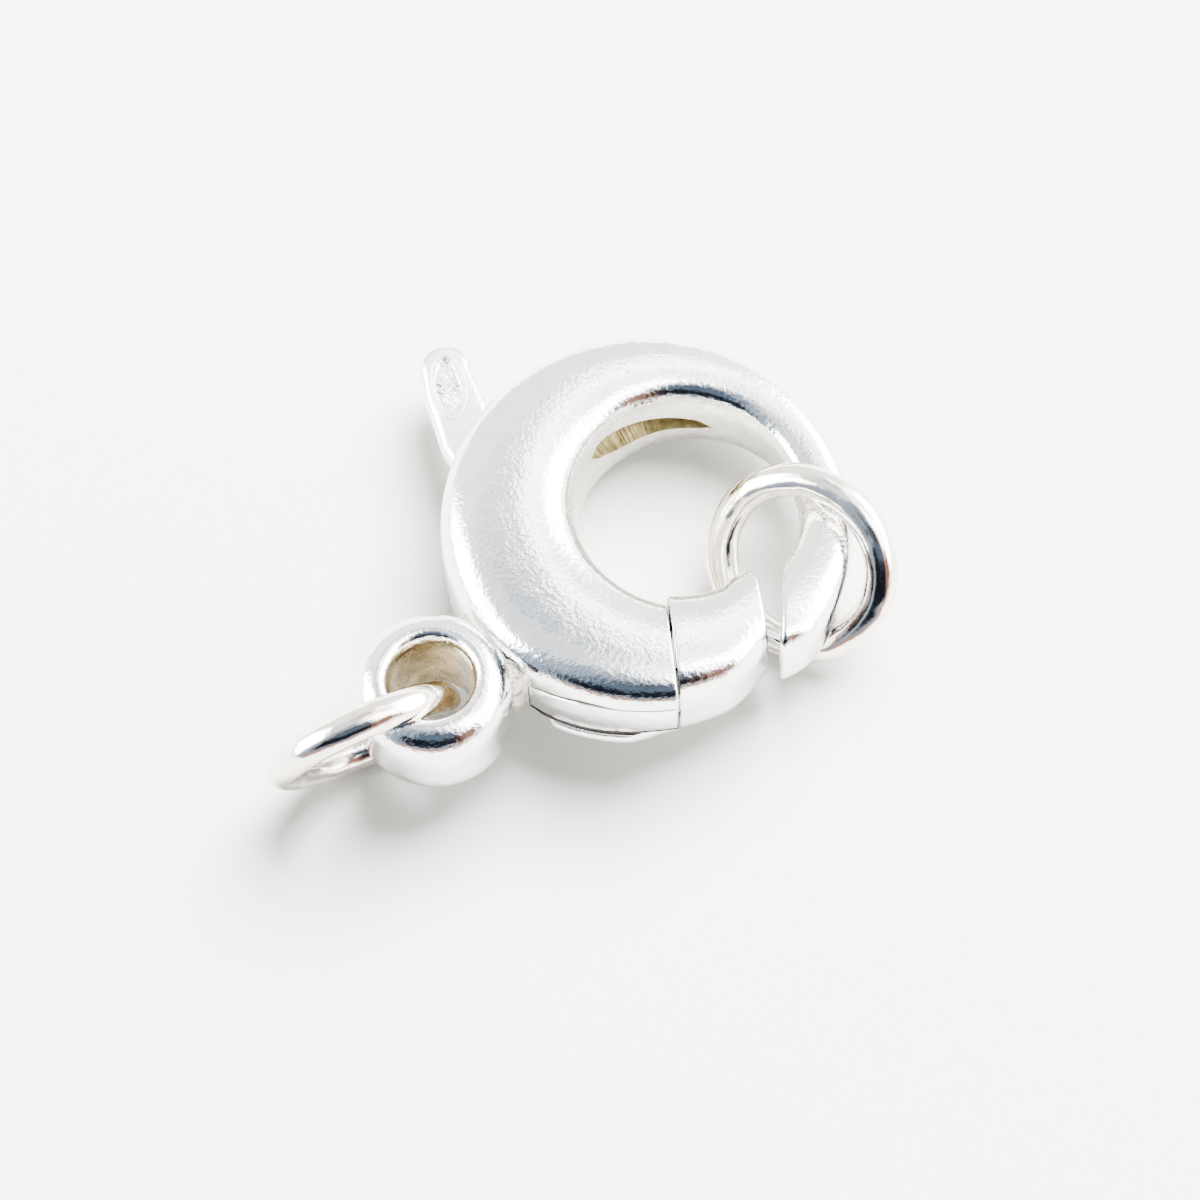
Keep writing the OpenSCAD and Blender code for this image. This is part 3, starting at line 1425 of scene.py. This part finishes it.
@dataclass(frozen=True)
class ClaspBody:
    """The casting: ring, hook tip, neck and tail bail, with the spaces for the lever.

    Attributes:
        lie: How the clasp rests.
        ring: The ring's shape.
        pivot: The lever's pivot.
        bail: The tail bail.
        neck: The neck.
        hollow: The hollow in the inner wall.
        band: The lever's band, whose slot is cut here.
        wall_half: Half the angle of the section that is upright inner wall, in degrees.
        wall_turns: Directions between which that wall has its satin finish.
        arm_turns: Directions between which the lever's arm has room to swing.
        arm_reach: How far that room runs out.
        rows: How many sections the ring has between its ends.
        tip: The hook tip.
        seam: The end that meets the gate.
    """

    lie: Lie
    ring: RingShape
    pivot: Pivot
    bail: Bail = Bail()
    neck: Neck = Neck()
    hollow: Hollow = Hollow()
    band: BandShape = BandShape()
    wall_half: float = 26.0
    wall_turns: Place = (20.0, 345.0)
    arm_turns: Place = (155.0, 172.0)
    arm_reach: float = 9.0
    rows: int = 440
    tip: End = End(direction=51.6, at=2.31, keeps=1, outside=-40.0, inside=40.0, round_r=0.12)
    seam: End = End(direction=58.2, at=-0.84, keeps=-1, outside=345.0, inside=290.0, round_r=0.05)

    def form(self, turn: Array, section: Array) -> Array:
        """The ring's surface, drawn in at the hook tip."""
        return self.ring.point(turn, section, self.ring.tip_ends)

    def arm_space(self) -> Array:
        """The space in which the lever's arm swings.

        Returns:
            Its outline.
        """
        half = self.pivot.arm_half + self.pivot.gap
        upper, lower = self.arm_turns
        start = np.array(self.pivot.at)
        far = self.arm_reach
        corners = []
        for direction, side, reach in ((upper, 1, 0), (upper, 1, far), (lower, -1, far), (lower, -1, 0)):
            across = unit(direction - 90 * side)[:2] * half
            corners.append(start + across + unit(direction)[:2] * reach)
        return np.array(corners)

    def paint_inner_wall(self, casting: Casting, section: Array) -> None:
        """Gives the upright wall of the opening its satin finish, in whole columns of faces.

        Args:
            casting: The casting while it is only the ring.
            section: Angles of the ring's section lines.
        """
        upright = np.abs(np.degrees(section) - 180) < self.wall_half
        for face in casting.shape.data.polygons:
            turn = math.degrees(math.atan2(face.center.y, face.center.x)) % 360
            within = self.wall_turns[0] < turn < self.wall_turns[1]
            if within and upright[face.index % len(section)] and face.material_index == Skin.POLISHED.value:
                face.material_index = Skin.SATIN.value

    def on_seam(self, middle: Vector, normal: Vector) -> bool:
        """Whether a face lies on the end that meets the gate, which gets the painted shade of the seam."""
        return self.seam.near(np.array(middle), np.array(normal))

    def build(self, skins: Skins) -> None:
        """Makes the casting and sets it in the shared frame.

        Args:
            skins: Its materials.
        """
        section = self.ring.sections()
        ring = swept(self.form, section, self.tip, self.seam, self.rows)
        casting = Casting("silver_clasp_body", ring, skins)
        # The flat end at the seam is painted near black: painted shade in the gap.
        casting.paint(Skin.SEAM, self.on_seam)
        self.paint_inner_wall(casting, section)
        casting.add(self.neck.form(), Skin.CAST)
        casting.add(self.bail.form())
        # The cut faces of the slot, the groove, the spaces for the lever and the bore get the near-black
        # painted shade of a gap.
        casting.cut(self.band.slot(self.band.clearance))
        casting.cut(self.band.slot(self.band.groove))
        casting.cut(self.band.taper_form(), Skin.POLISHED)
        casting.add(self.band.ledge_form())
        pivot = self.pivot
        space = pivot.lever_h + pivot.gap
        casting.cut(prism(disc(pivot.hub_r + pivot.gap, pivot.at), -space, space))
        casting.cut(prism(self.arm_space(), -space, space))
        casting.cut(prism(disc(pivot.body_bore_r, pivot.at), -pivot.body_bore_h, pivot.body_bore_h))
        # The hollow's faces get a dark khaki painted shade and reflection.
        casting.cut(self.hollow.form(), Skin.HOLLOW)
        # The wall of the bail's hole gets a warm painted reflection.
        casting.paint(Skin.THROAT, self.bail.in_throat)
        casting.clean()
        piece = Piece(casting.shape, self.lie)
        piece.smooth()
        piece.stand_for("clasp_body", "clasp", Slot.CAST)


@dataclass(frozen=True)
class OvalPanel:
    """The oval that is sunk in both faces of the fin, with a bead round it.

    Attributes:
        at: Its centre, in the plan turned by the fin's direction.
        turn: How far it is turned there, in degrees.
        half: Half its width and half its length.
        wall: Steps of its wall, as pairs of scale and depth.
        wall_ends: How much the wall flares at the oval's ends, against at its sides.
        floor_scale: Scale at which its floor starts.
        floor_inner: Scale of the floor's innermost loop.
        floor_depth: Depth of its floor.
        floor_rows: How many loops the floor has.
        lump: Height of the floor's lumps.
        lump_over: Span of scale over which the lumps rise from the wall.
        bead: Half the width and half the height of the bead.
        bead_out: How far the bead's middle lies outside the oval.
        bead_sunk: How far it lies below the fin's face.
        bead_rows: How many points its section has.
        points: How many points each loop has.
    """

    at: Place = (-6.05, 3.5)
    turn: float = 10.0
    half: Place = (0.38, 0.85)
    wall: tuple[Place, ...] = ((1.12, -0.1), (1.0, 0.0), (0.95, 0.05), (0.88, 0.085))
    wall_ends: float = 0.5
    floor_scale: float = 0.8
    floor_inner: float = 0.02
    floor_depth: float = 0.1
    floor_rows: int = 26
    lump: float = 0.035
    lump_over: float = 0.16
    bead: Place = (0.06, 0.045)
    bead_out: float = 0.055
    bead_sunk: float = 0.005
    bead_rows: int = 20
    points: int = 96

    def swing(self) -> Array:
        """Angles of the points round a loop."""
        return np.linspace(0, 2 * np.pi, self.points, endpoint=False)

    def relief(self, x: Array, y: Array) -> Array:
        """The floor's relief, from -1 to 1, out of waves that bend one another."""
        across = np.sin(11 * x + 9 * np.sin(5 * y))
        return across * np.sin(13 * y + 7 * np.sin(6 * x))

    def placed(self, across: Array, along: Array, height: Array) -> Array:
        """Places points of the oval, in the plan turned by the fin's direction."""
        return turned(np.stack([across, along, height], -1), self.turn) + np.array([*self.at, 0.0])

    def dish(self, side: int, face_h: float) -> list[Array]:
        """The dish itself, with an uneven cast floor.

        Args:
            side: 1 for the upper face, -1 for the lower one.
            face_h: Height of the fin's face.

        Returns:
            Its loops, from above the face to the middle of the floor.
        """
        swing = self.swing()
        edge = self.wall[-1][0]
        scales = np.linspace(self.floor_scale, self.floor_inner, self.floor_rows)
        rows = []
        for scale, depth in self.wall + tuple((scale, self.floor_depth) for scale in scales):
            x = self.half[0] * scale * np.cos(swing)
            y = self.half[1] * min(scale, 1 + (scale - 1) * self.wall_ends) * np.sin(swing)
            sunk = depth + self.lump * self.relief(x, y) * float(ease((edge - scale) / self.lump_over))
            rows.append(self.placed(x, y, side * (face_h - sunk)))
        return rows

    def ring(self, side: int, face_h: float) -> list[Array]:
        """The raised bead round the oval.

        Args:
            side: 1 for the upper face, -1 for the lower one.
            face_h: Height of the fin's face.

        Returns:
            Its loops, which meet in a ring.
        """
        swing = self.swing()
        rows = []
        for turn in np.linspace(0, 2 * np.pi, self.bead_rows, endpoint=False):
            out = self.bead_out + self.bead[0] * math.cos(turn)
            x = (self.half[0] + out) * np.cos(swing)
            y = (self.half[1] + out) * np.sin(swing)
            lift = side * (face_h - self.bead_sunk + self.bead[1] * math.sin(turn))
            rows.append(self.placed(x, y, np.full_like(x, lift)))
        return rows


@dataclass(frozen=True)
class TriggerFin:
    """The trigger fin, flat on both faces, with a well rounded edge.

    Attributes:
        direction: Direction by which its plan is turned, in degrees.
        end_r: Radius of its round end.
        end_at: Centre of that end.
        side: Corners of the rest of its outline.
        spine: The line that its edge is rounded towards.
        face_h: Half its height.
        edge: Radius of its edge.
        edge_steps: How many rows of points that edge has.
        face_from: How far along its plan its flat faces start.
        face_near: How far below its top a face of the mesh still counts as flat.
        end_points: How many points its round end is drawn with.
        points: How many points its outline has.
        passes: How many times the outline's corners are rounded.
        panel: The oval in its faces.
    """

    direction: float = 51.6
    end_r: float = 0.68
    end_at: Place = (-6.14, 4.13)
    side: tuple[Place, ...] = (
        (-6.66, 3.25), (-6.42, 2.55), (-6.2, 1.8), (-5.85, 1.2), (-5.4, 1.3), (-4.85, 2.3), (-4.98, 3.0),
    )
    spine: tuple[Place, Place] = ((-5.72, 1.9), (-6.1, 4.0))
    face_h: float = 0.6
    edge: float = 0.3
    edge_steps: int = 11
    face_from: float = 1.6
    face_near: float = 0.01
    end_points: int = 40
    points: int = 200
    passes: int = 6
    panel: OvalPanel = OvalPanel()

    def outline(self) -> Array:
        """The fin's outline, evenly spaced.

        Returns:
            Its points.
        """
        half_turn = np.linspace(0, math.pi, self.end_points)
        end = np.array(self.end_at) + self.end_r * np.column_stack([np.cos(half_turn), np.sin(half_turn)])
        return smoothed(np.concatenate([end, np.array(self.side)]), self.points, self.passes)

    def form(self) -> Closed:
        """The fin itself.

        Returns:
            The form to add.
        """
        outline = self.outline()
        low, high = np.array(self.spine)
        along = high - low
        share = np.clip((outline - low) @ along / (along @ along), 0, 1)
        inward = low + share[:, None] * along - outline
        inward /= np.linalg.norm(inward, axis=1, keepdims=True)
        side = []
        for swing in np.linspace(0, math.pi / 2, self.edge_steps):
            flat = outline + inward * self.edge * (1 - math.cos(swing))
            lift = self.face_h - self.edge * (1 - math.sin(swing))
            side.append(np.column_stack([flat, np.full(len(flat), lift)]))
        under = [row * np.array([1, 1, -1]) for row in reversed(side)]
        return lidded([turned(row, self.direction) for row in under + side])

    def on_face(self, middle: Vector, _: Vector) -> bool:
        """Whether a face of the mesh lies on a flat face of the fin."""
        spot = turned(np.array([[middle.x, middle.y, 0.0]]), -self.direction)[0]
        return abs(middle.z) > self.face_h - self.face_near and spot[1] > self.face_from

    def bead(self, side: int) -> Closed:
        """The bead round the oval of one face."""
        rows = [turned(row, self.direction) for row in self.panel.ring(side, self.face_h)]
        return closed_form(rows, caps=False)

    def dish(self, side: int) -> Closed:
        """The oval dish of one face."""
        return closed_form([turned(row, self.direction) for row in self.panel.dish(side, self.face_h)])


@dataclass(frozen=True)
class Lever:
    """The gate, the band in the slot, the hub, the arm and the trigger fin, in one casting.

    Attributes:
        lie: How the clasp rests.
        ring: The ring's shape.
        pivot: Its pivot.
        fin: The trigger fin.
        band: The band in the wall.
        sit: How far the gate sits inside the line of the ring, as a turn about the pivot.
        hump: Height of the low hump on its inner edge.
        arm_dir: Direction of the arm.
        arm_long: Length of the arm.
        tie_r: Reaches between which the band runs on inside the gate.
        tie_turns: Directions between which it does so.
        tie_h: Heights between which it does so.
        rows: How many sections the gate has between its ends.
        seam: The end that meets the body.
        tip: The free end.
    """

    lie: Lie
    ring: RingShape
    pivot: Pivot
    fin: TriggerFin = TriggerFin()
    band: BandShape = BandShape()
    sit: float = 5.0
    hump: float = 0.13
    arm_dir: float = 158.7
    arm_long: float = 5.3
    tie_r: Place = (3.9, 4.72)
    tie_turns: Place = (316.0, 340.0)
    tie_h: Place = (-0.22, 0.58)
    rows: int = 110
    seam: End = End(direction=58.2, at=-0.78, keeps=1, outside=290.0, inside=345.0, round_r=0.05)
    tip: End = End(direction=62.0, at=1.33, keeps=-1, outside=400.0, inside=320.0, round_r=0.12, corner=0.2)

    def form(self, turn: Array, section: Array) -> Array:
        """The gate's surface, swung to sit inside the line of the ring."""
        points = self.ring.point(turn, section, self.ring.gate_ends, self.hump)
        return turned(points, self.sit, self.pivot.at)

    def on_seam(self, middle: Vector, normal: Vector) -> bool:
        """Whether a face lies on the end that meets the body, which gets the painted shade of the seam."""
        point = turned(np.array([middle]), -self.sit, self.pivot.at)[0]
        return self.seam.near(point, turned(np.array([normal]), -self.sit)[0])

    def tie(self) -> Closed:
        """The part of the band that runs on inside the gate."""
        return prism(ring_band(*self.tie_r, *self.tie_turns, self.ring.outer_at), *self.tie_h)

    def arm(self) -> Closed:
        """The straight arm from the hub to the fin.

        Returns:
            The form to add.
        """
        half = self.pivot.arm_half
        bar = np.array([[0, -half], [self.arm_long, -half], [self.arm_long, half], [0, half]])
        points, faces = prism(bar + np.array(self.pivot.at), -self.fin.face_h, self.fin.face_h)
        return turned(points, self.arm_dir, self.pivot.at), faces

    def build(self, skins: Skins) -> None:
        """Makes the lever and sets it in the shared frame.

        Args:
            skins: Its materials.
        """
        gate = swept(self.form, self.ring.sections(), self.seam, self.tip, self.rows)
        casting = Casting("silver_lever", gate, skins)
        # The flat end at the seam is painted near black: painted shade in the gap.
        casting.paint(Skin.SEAM, self.on_seam)
        pivot = self.pivot
        casting.add(self.band.band())
        casting.add(self.tie())
        casting.add(prism(disc(pivot.hub_r, pivot.at), -pivot.lever_h, pivot.lever_h))
        casting.add(self.arm())
        casting.add(self.fin.form())
        casting.paint(Skin.GROUND, self.fin.on_face)
        for side in (-1, 1):
            casting.add(self.fin.bead(side), Skin.GROUND)
            casting.cut(self.fin.dish(side), Skin.PEBBLED)
        # The bore's cut faces get the near-black painted shade of a gap.
        casting.cut(prism(disc(pivot.lever_bore_r, pivot.at), -pivot.lever_bore_h, pivot.lever_bore_h))
        casting.clean()
        piece = Piece(casting.shape, self.lie)
        piece.smooth()
        piece.stand_for("lever", "lever", Slot.CAST)


@dataclass(frozen=True)
class JumpRing:
    """A round wire ring, lying loose where the photograph shows it.

    Attributes:
        name: The solid that it stands for.
        at: Its centre from the plan's origin, and its height above the table.
        turn: Direction of its axis, in degrees.
        tip: Tilt of its axis from upright, in degrees.
        link_r: Radius of the ring at the middle of its wire.
        wire_r: Radius of the wire.
        uneven: How much that radius wanders.
        rows: How many sections it has.
        points: How many points each section has.
        sharp_from: Angle from which an edge is shaded sharply, in degrees.
        WAVES: Sum of the heights of the waves in the wire.
    """

    WAVES: ClassVar[float] = 2.7

    name: str
    at: tuple[float, float, float]
    turn: float
    tip: float
    link_r: float = 2.15
    wire_r: float = 0.42
    uneven: float = 0.012
    rows: int = 288
    points: int = 64
    sharp_from: float = 60.0

    def wire(self, side: float, swing: Array) -> Array:
        """The wire's radius round one section, faintly uneven as if it was bent by hand.

        Args:
            side: Where the section lies round the ring, in radians.
            swing: Angles round the section.

        Returns:
            The radius at each angle.
        """
        wander = math.sin(5 * side + 1) + 0.7 * math.sin(13 * side + 2) + np.cos(2 * swing + 7 * side)
        return self.wire_r + self.uneven * wander / self.WAVES

    def build(self, finish: bpy.types.Material, lie: Lie) -> None:
        """Makes the ring and sets it in the shared frame.

        Args:
            finish: Its material.
            lie: How the clasp rests.
        """
        rows = []
        swing = np.linspace(0, 2 * np.pi, self.points, endpoint=False)
        for side in np.linspace(0, 2 * np.pi, self.rows, endpoint=False):
            wire = self.wire(side, swing)
            reach = self.link_r + wire * np.cos(swing)
            x, y = reach * math.cos(side), reach * math.sin(side)
            rows.append(np.column_stack([x, y, wire * np.sin(swing)]))
        points, faces = closed_form(rows, caps=False)
        tip = math.radians(self.tip)
        x, y, z = points.T
        across = x * math.cos(tip) + z * math.sin(tip)
        upwards = z * math.cos(tip) - x * math.sin(tip)
        tipped = np.column_stack([across, y, upwards])
        points = turned(tipped, self.turn) + np.array(self.at) + np.array([*lie.centre[:2], 0])
        piece = Piece(make_object("silver_" + self.name, (points * MM, faces)))
        piece.smooth(self.sharp_from)
        piece.dress(finish)
        piece.stand_for(self.name, "clasp", Slot.WIRE)


@dataclass(frozen=True)
class Patch:
    """A soft-edged part of the room as the clasp sees it.

    Attributes:
        turn: Middle of the patch, in degrees round from the camera's side.
        turn_half: Half its width.
        height: Middle of the patch, in degrees above the table.
        height_half: Half its height.
        soft: Width of its soft edge.
        colour: Its colour, in which 1 is a mid tone and 12 is white.
    """

    turn: float
    turn_half: float
    height: float
    height_half: float
    soft: float
    colour: Colour


class Room(Tree):
    """The surroundings that light the clasp and show in its polish.

    Attributes:
        azimuth: Direction of the camera's side, in degrees.
        WALLS: The room's colour where it has no patch.
        BACKDROP: The colour that the camera itself sees past the table.
        FOR_TABLE: Share of its light that the room gives to rays that come off a matt surface.
        PATCHES: Its patches, each one laid over those before it.
    """

    WALLS: ClassVar[Colour] = (2.0, 2.03, 2.1)
    BACKDROP: ClassVar[Colour] = (6.4, 6.4, 6.3)
    FOR_TABLE: ClassVar[float] = 0.06
    PATCHES: ClassVar[tuple[Patch, ...]] = (
        Patch(-152.0, 40.0, 20.0, 32.0, 22.0, (3.2, 3.15, 3.0)),
        Patch(102.0, 60.0, 46.0, 46.0, 40.0, (6.0, 6.0, 5.95)),
        Patch(104.0, 42.0, 28.0, 20.0, 16.0, (22.0, 22.0, 21.6)),
        Patch(74.0, 20.0, 52.0, 24.0, 16.0, (16.0, 16.0, 15.7)),
        Patch(162.0, 14.0, 54.0, 6.0, 10.0, (9.0, 9.0, 8.9)),
        Patch(-168.0, 26.0, 68.0, 4.0, 8.0, (1.05, 1.2, 1.35)),
        Patch(-90.0, 30.0, 26.0, 20.0, 14.0, (22.0, 22.0, 21.6)),
        Patch(-20.0, 40.0, 43.0, 46.0, 18.0, (0.58, 0.70, 0.88)),
        Patch(6.0, 36.0, 49.0, 17.0, 14.0, (0.15, 0.21, 0.30)),
        Patch(10.0, 20.0, 64.0, 3.0, 6.0, (0.04, 0.04, 0.05)),
        Patch(44.0, 20.0, 24.0, 16.0, 14.0, (0.60, 0.30, 0.23)),
        Patch(-2.0, 38.0, 28.0, 13.0, 14.0, (0.012, 0.016, 0.026)),
        Patch(0.0, 38.0, 4.0, 5.0, 8.0, (1.0, 0.48, 0.32)),
    )

    def __init__(self, tree: bpy.types.NodeTree, azimuth: float) -> None:
        """Keeps the tree and the camera's side."""
        super().__init__(tree)
        self.azimuth = azimuth

    def math(self, kind: str, *values: Union[float, Socket]) -> Socket:
        """A sum in nodes.

        Args:
            kind: The operation.
            *values: Plain numbers and sockets.

        Returns:
            The result.
        """
        node = self.add("ShaderNodeMath", operation=kind)
        for socket, value in zip(node.inputs, values):
            if isinstance(value, float):
                socket.default_value = value
            else:
                self.link(value, socket)
        return node.outputs[0]

    def fade(self, value: Socket, half: float, soft: float) -> Socket:
        """1 within a half width and 0 past its soft edge.

        Args:
            value: Distance from the middle.
            half: The half width.
            soft: Width of the edge.

        Returns:
            The share that shows.
        """
        node = self.add("ShaderNodeMapRange", interpolation_type="SMOOTHSTEP")
        node.inputs["From Min"].default_value = half + soft / 2
        node.inputs["From Max"].default_value = half - soft / 2
        self.link(value, node.inputs["Value"])
        return node.outputs["Result"]

    def towards(self, where: Socket, direction: Array) -> Socket:
        """How far the place seen lies along a direction.

        Args:
            where: The place seen.
            direction: A unit vector.

        Returns:
            The distance.
        """
        node = self.add("ShaderNodeVectorMath", operation="DOT_PRODUCT")
        node.inputs[1].default_value = tuple(direction)
        self.link(where, node.inputs[0])
        return node.outputs["Value"]

    def build(self) -> None:
        """Makes the room's colours, and dims them for light that comes off the table."""
        where = self.add("ShaderNodeTexCoord").outputs["Generated"]
        ahead = self.towards(where, unit(self.azimuth))
        aside = self.towards(where, unit(self.azimuth + 90))
        turn = self.math("DEGREES", self.math("ARCTAN2", aside, ahead))
        height = self.math("DEGREES", self.math("ARCSINE", self.towards(where, np.array([0, 0, 1]))))
        colour: Union[Colour, Socket] = self.WALLS
        for patch in self.PATCHES:
            off = self.math("WRAP", self.math("SUBTRACT", turn, patch.turn), 180.0, -180.0)
            across = self.fade(self.math("ABSOLUTE", off), patch.turn_half, patch.soft)
            lift = self.math("ABSOLUTE", self.math("SUBTRACT", height, patch.height))
            upright = self.fade(lift, patch.height_half, patch.soft)
            colour = self.mix(self.math("MULTIPLY", across, upright), colour, patch.colour)
        path = self.add("ShaderNodeLightPath")
        shade = self.tree.nodes["Background"]
        self.link(self.mix(path.outputs["Is Camera Ray"], colour, self.BACKDROP), shade.inputs["Color"])
        from_table = self.math("MINIMUM", path.outputs["Diffuse Depth"], 1.0)
        dimming = self.math("MULTIPLY", from_table, 1.0 - self.FOR_TABLE)
        self.link(self.math("SUBTRACT", 1.0, dimming), shade.inputs["Strength"])


@dataclass(frozen=True)
class Studio:
    """The pale table, the soft light round it and the camera.

    Attributes:
        lie: How the clasp rests.
        table_half: Half the table's width, in metres.
        raised: How high the camera stands, in degrees.
        azimuth: Its direction from the clasp.
        distance: Its distance from the middle of the opening.
        view_mm: Width of what it sees at that distance.
        aside: How far it aims left of and below the middle of the opening.
        key_azimuth: Direction of the key light.
        key_raised: How high it hangs, in degrees.
        key_away: Its distance, in metres.
        key_size: Its width, in metres.
        key_power: Its power.
    """

    lie: Lie
    table_half: float = 0.4
    raised: float = 70.1
    azimuth: float = 321.6
    distance: float = 100.0
    view_mm: float = 30.0
    aside: Place = (2.185, 1.97)
    key_azimuth: float = 110.0
    key_raised: float = 54.0
    key_away: float = 0.35
    key_size: float = 0.28
    key_power: float = 13.4

    def table(self, finish: bpy.types.Material) -> None:
        """Lays the table under the clasp.

        Args:
            finish: Its material.
        """
        half = self.table_half
        corners = [(-half, -half, 0), (half, -half, 0), (half, half, 0), (-half, half, 0)]
        top = make_object("table", (np.array(corners), [(0, 1, 2, 3)]))
        top.data.materials.append(finish)

    def camera(self) -> None:
        """Sets the camera at the photograph's angle."""
        back = self.aloft(self.azimuth, self.raised)
        right = np.cross([0, 0, 1], back)
        right /= np.linalg.norm(right)
        up = np.cross(back, right)
        centre = np.array(self.lie.centre)
        spot = (centre + back * self.distance) * MM
        aim = (centre - right * self.aside[0] - up * self.aside[1]) * MM
        data = bpy.data.cameras.new("camera")
        data.sensor_width = 36.0
        data.lens = data.sensor_width * self.distance / self.view_mm
        data.clip_start = 0.005
        data.clip_end = 10.0
        camera = bpy.data.objects.new("camera", data)
        camera.location = spot
        back = (spot - aim) / np.linalg.norm(spot - aim)
        right -= back * (right @ back)
        right /= np.linalg.norm(right)
        turn = Matrix(np.column_stack([right, np.cross(back, right), back]).tolist())
        camera.rotation_euler = turn.to_euler()
        bpy.context.scene.collection.objects.link(camera)
        bpy.context.scene.camera = camera

    def aloft(self, azimuth: float, raised: float) -> Array:
        """The unit vector towards something that stands or hangs above the table."""
        high = math.radians(raised)
        return np.append(unit(azimuth)[:2] * math.cos(high), math.sin(high))

    def key_light(self) -> None:
        """Hangs a large soft light high on the far side, which doesn't show in the polish."""
        away = self.aloft(self.key_azimuth, self.key_raised) * self.key_away
        data = bpy.data.lights.new("key_light", "AREA")
        data.shape = "DISK"
        data.size = self.key_size
        data.energy = self.key_power
        light = bpy.data.objects.new("key_light", data)
        light.location = away
        light.rotation_euler = Vector(-away).to_track_quat("-Z", "Y").to_euler()
        light.visible_glossy = False
        bpy.context.scene.collection.objects.link(light)

    def room(self) -> None:
        """Sets the clasp in a white room, with dark shapes on the camera's side."""
        world = bpy.data.worlds.new("room")
        bpy.context.scene.world = world
        world.use_nodes = True
        Room(world.node_tree, self.azimuth).build()

    def build(self) -> None:
        """Lays the table, then makes the light, the room and the camera."""
        self.table(PaleTable("pale_table").build())
        self.key_light()
        self.room()
        self.camera()
        LOG.info("studio: table, key light, room and camera")


def cast_skins() -> Skins:
    """The finishes that the two castings wear.

    Returns:
        A material for each skin.
    """
    finishes = {
        Skin.POLISHED: PolishedSilver("polished_cast_silver"),
        # Dark khaki: painted shade and reflection in the hollow, on rough unpolished silver.
        Skin.HOLLOW: RawSilver("rough_hollow_painted_shade", (0.50, 0.40, 0.19), (0.18, 0.15, 0.06)),
        # Near black: painted shade in the seams, the slot and the bores, not a finish of the metal.
        Skin.SEAM: RawSilver("painted_gap_shade", (0.07, 0.06, 0.045), (0.025, 0.022, 0.018)),
        # Warm: painted reflection inside the bail's hole, on rougher silver.
        Skin.THROAT: RawSilver(
            "bail_throat_painted_reflection", (0.80, 0.65, 0.40), (0.46, 0.34, 0.16), rough_low=0.2, rough_high=0.4
        ),
        Skin.CAST: RawSilver(
            "rough_cast_neck", (0.84, 0.80, 0.70), (0.42, 0.37, 0.27),
            rough_low=0.2, rough_high=0.45, grain_mm=0.03,
        ),
        Skin.GROUND: RawSilver(
            "frosted_fin_face", (0.98, 0.975, 0.95), (0.90, 0.90, 0.86), rough_low=0.4, rough_high=0.55
        ),
        Skin.PEBBLED: RawSilver(
            "pebbled_oval", (0.98, 0.975, 0.94), (0.78, 0.78, 0.70),
            rough_low=0.12, rough_high=0.3, grain_mm=0.03,
        ),
        Skin.SATIN: RawSilver(
            "satin_inner_wall", (0.91, 0.88, 0.81), (0.68, 0.65, 0.57),
            rough_low=0.12, rough_high=0.32, grain_mm=0.016,
        ),
    }
    return {skin: finish.build() for skin, finish in finishes.items()}


def main() -> None:
    """Builds the clasp piece by piece, then the studio."""
    logging.basicConfig(level=logging.INFO, format="%(name)s: %(message)s")
    lie = Lie()
    ring = RingShape()
    pivot = Pivot()
    skins = cast_skins()
    wire = PolishedSilver(
        "polished_silver_wire", (0.98, 0.965, 0.94), (0.78, 0.68, 0.58), grain_mm=0.003, wave_mm=0.024
    ).build()
    ClaspBody(lie, ring, pivot).build(skins)
    Lever(lie, ring, pivot).build(skins)
    JumpRing("tail_jump_ring", at=(-0.405, -9.775, 2.56), turn=166.3, tip=81.3).build(wire, lie)
    JumpRing("hook_jump_ring", at=(2.569, 1.57, 1.9), turn=284.8, tip=43.1).build(wire, lie)
    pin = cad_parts["pivot_pin"]
    pin.data.materials.clear()
    pin.data.materials.append(wire)
    LOG.info("pivot_pin: kept as its solid, in polished wire")
    Studio(lie).build()


if __name__ == "__main__":
    main()
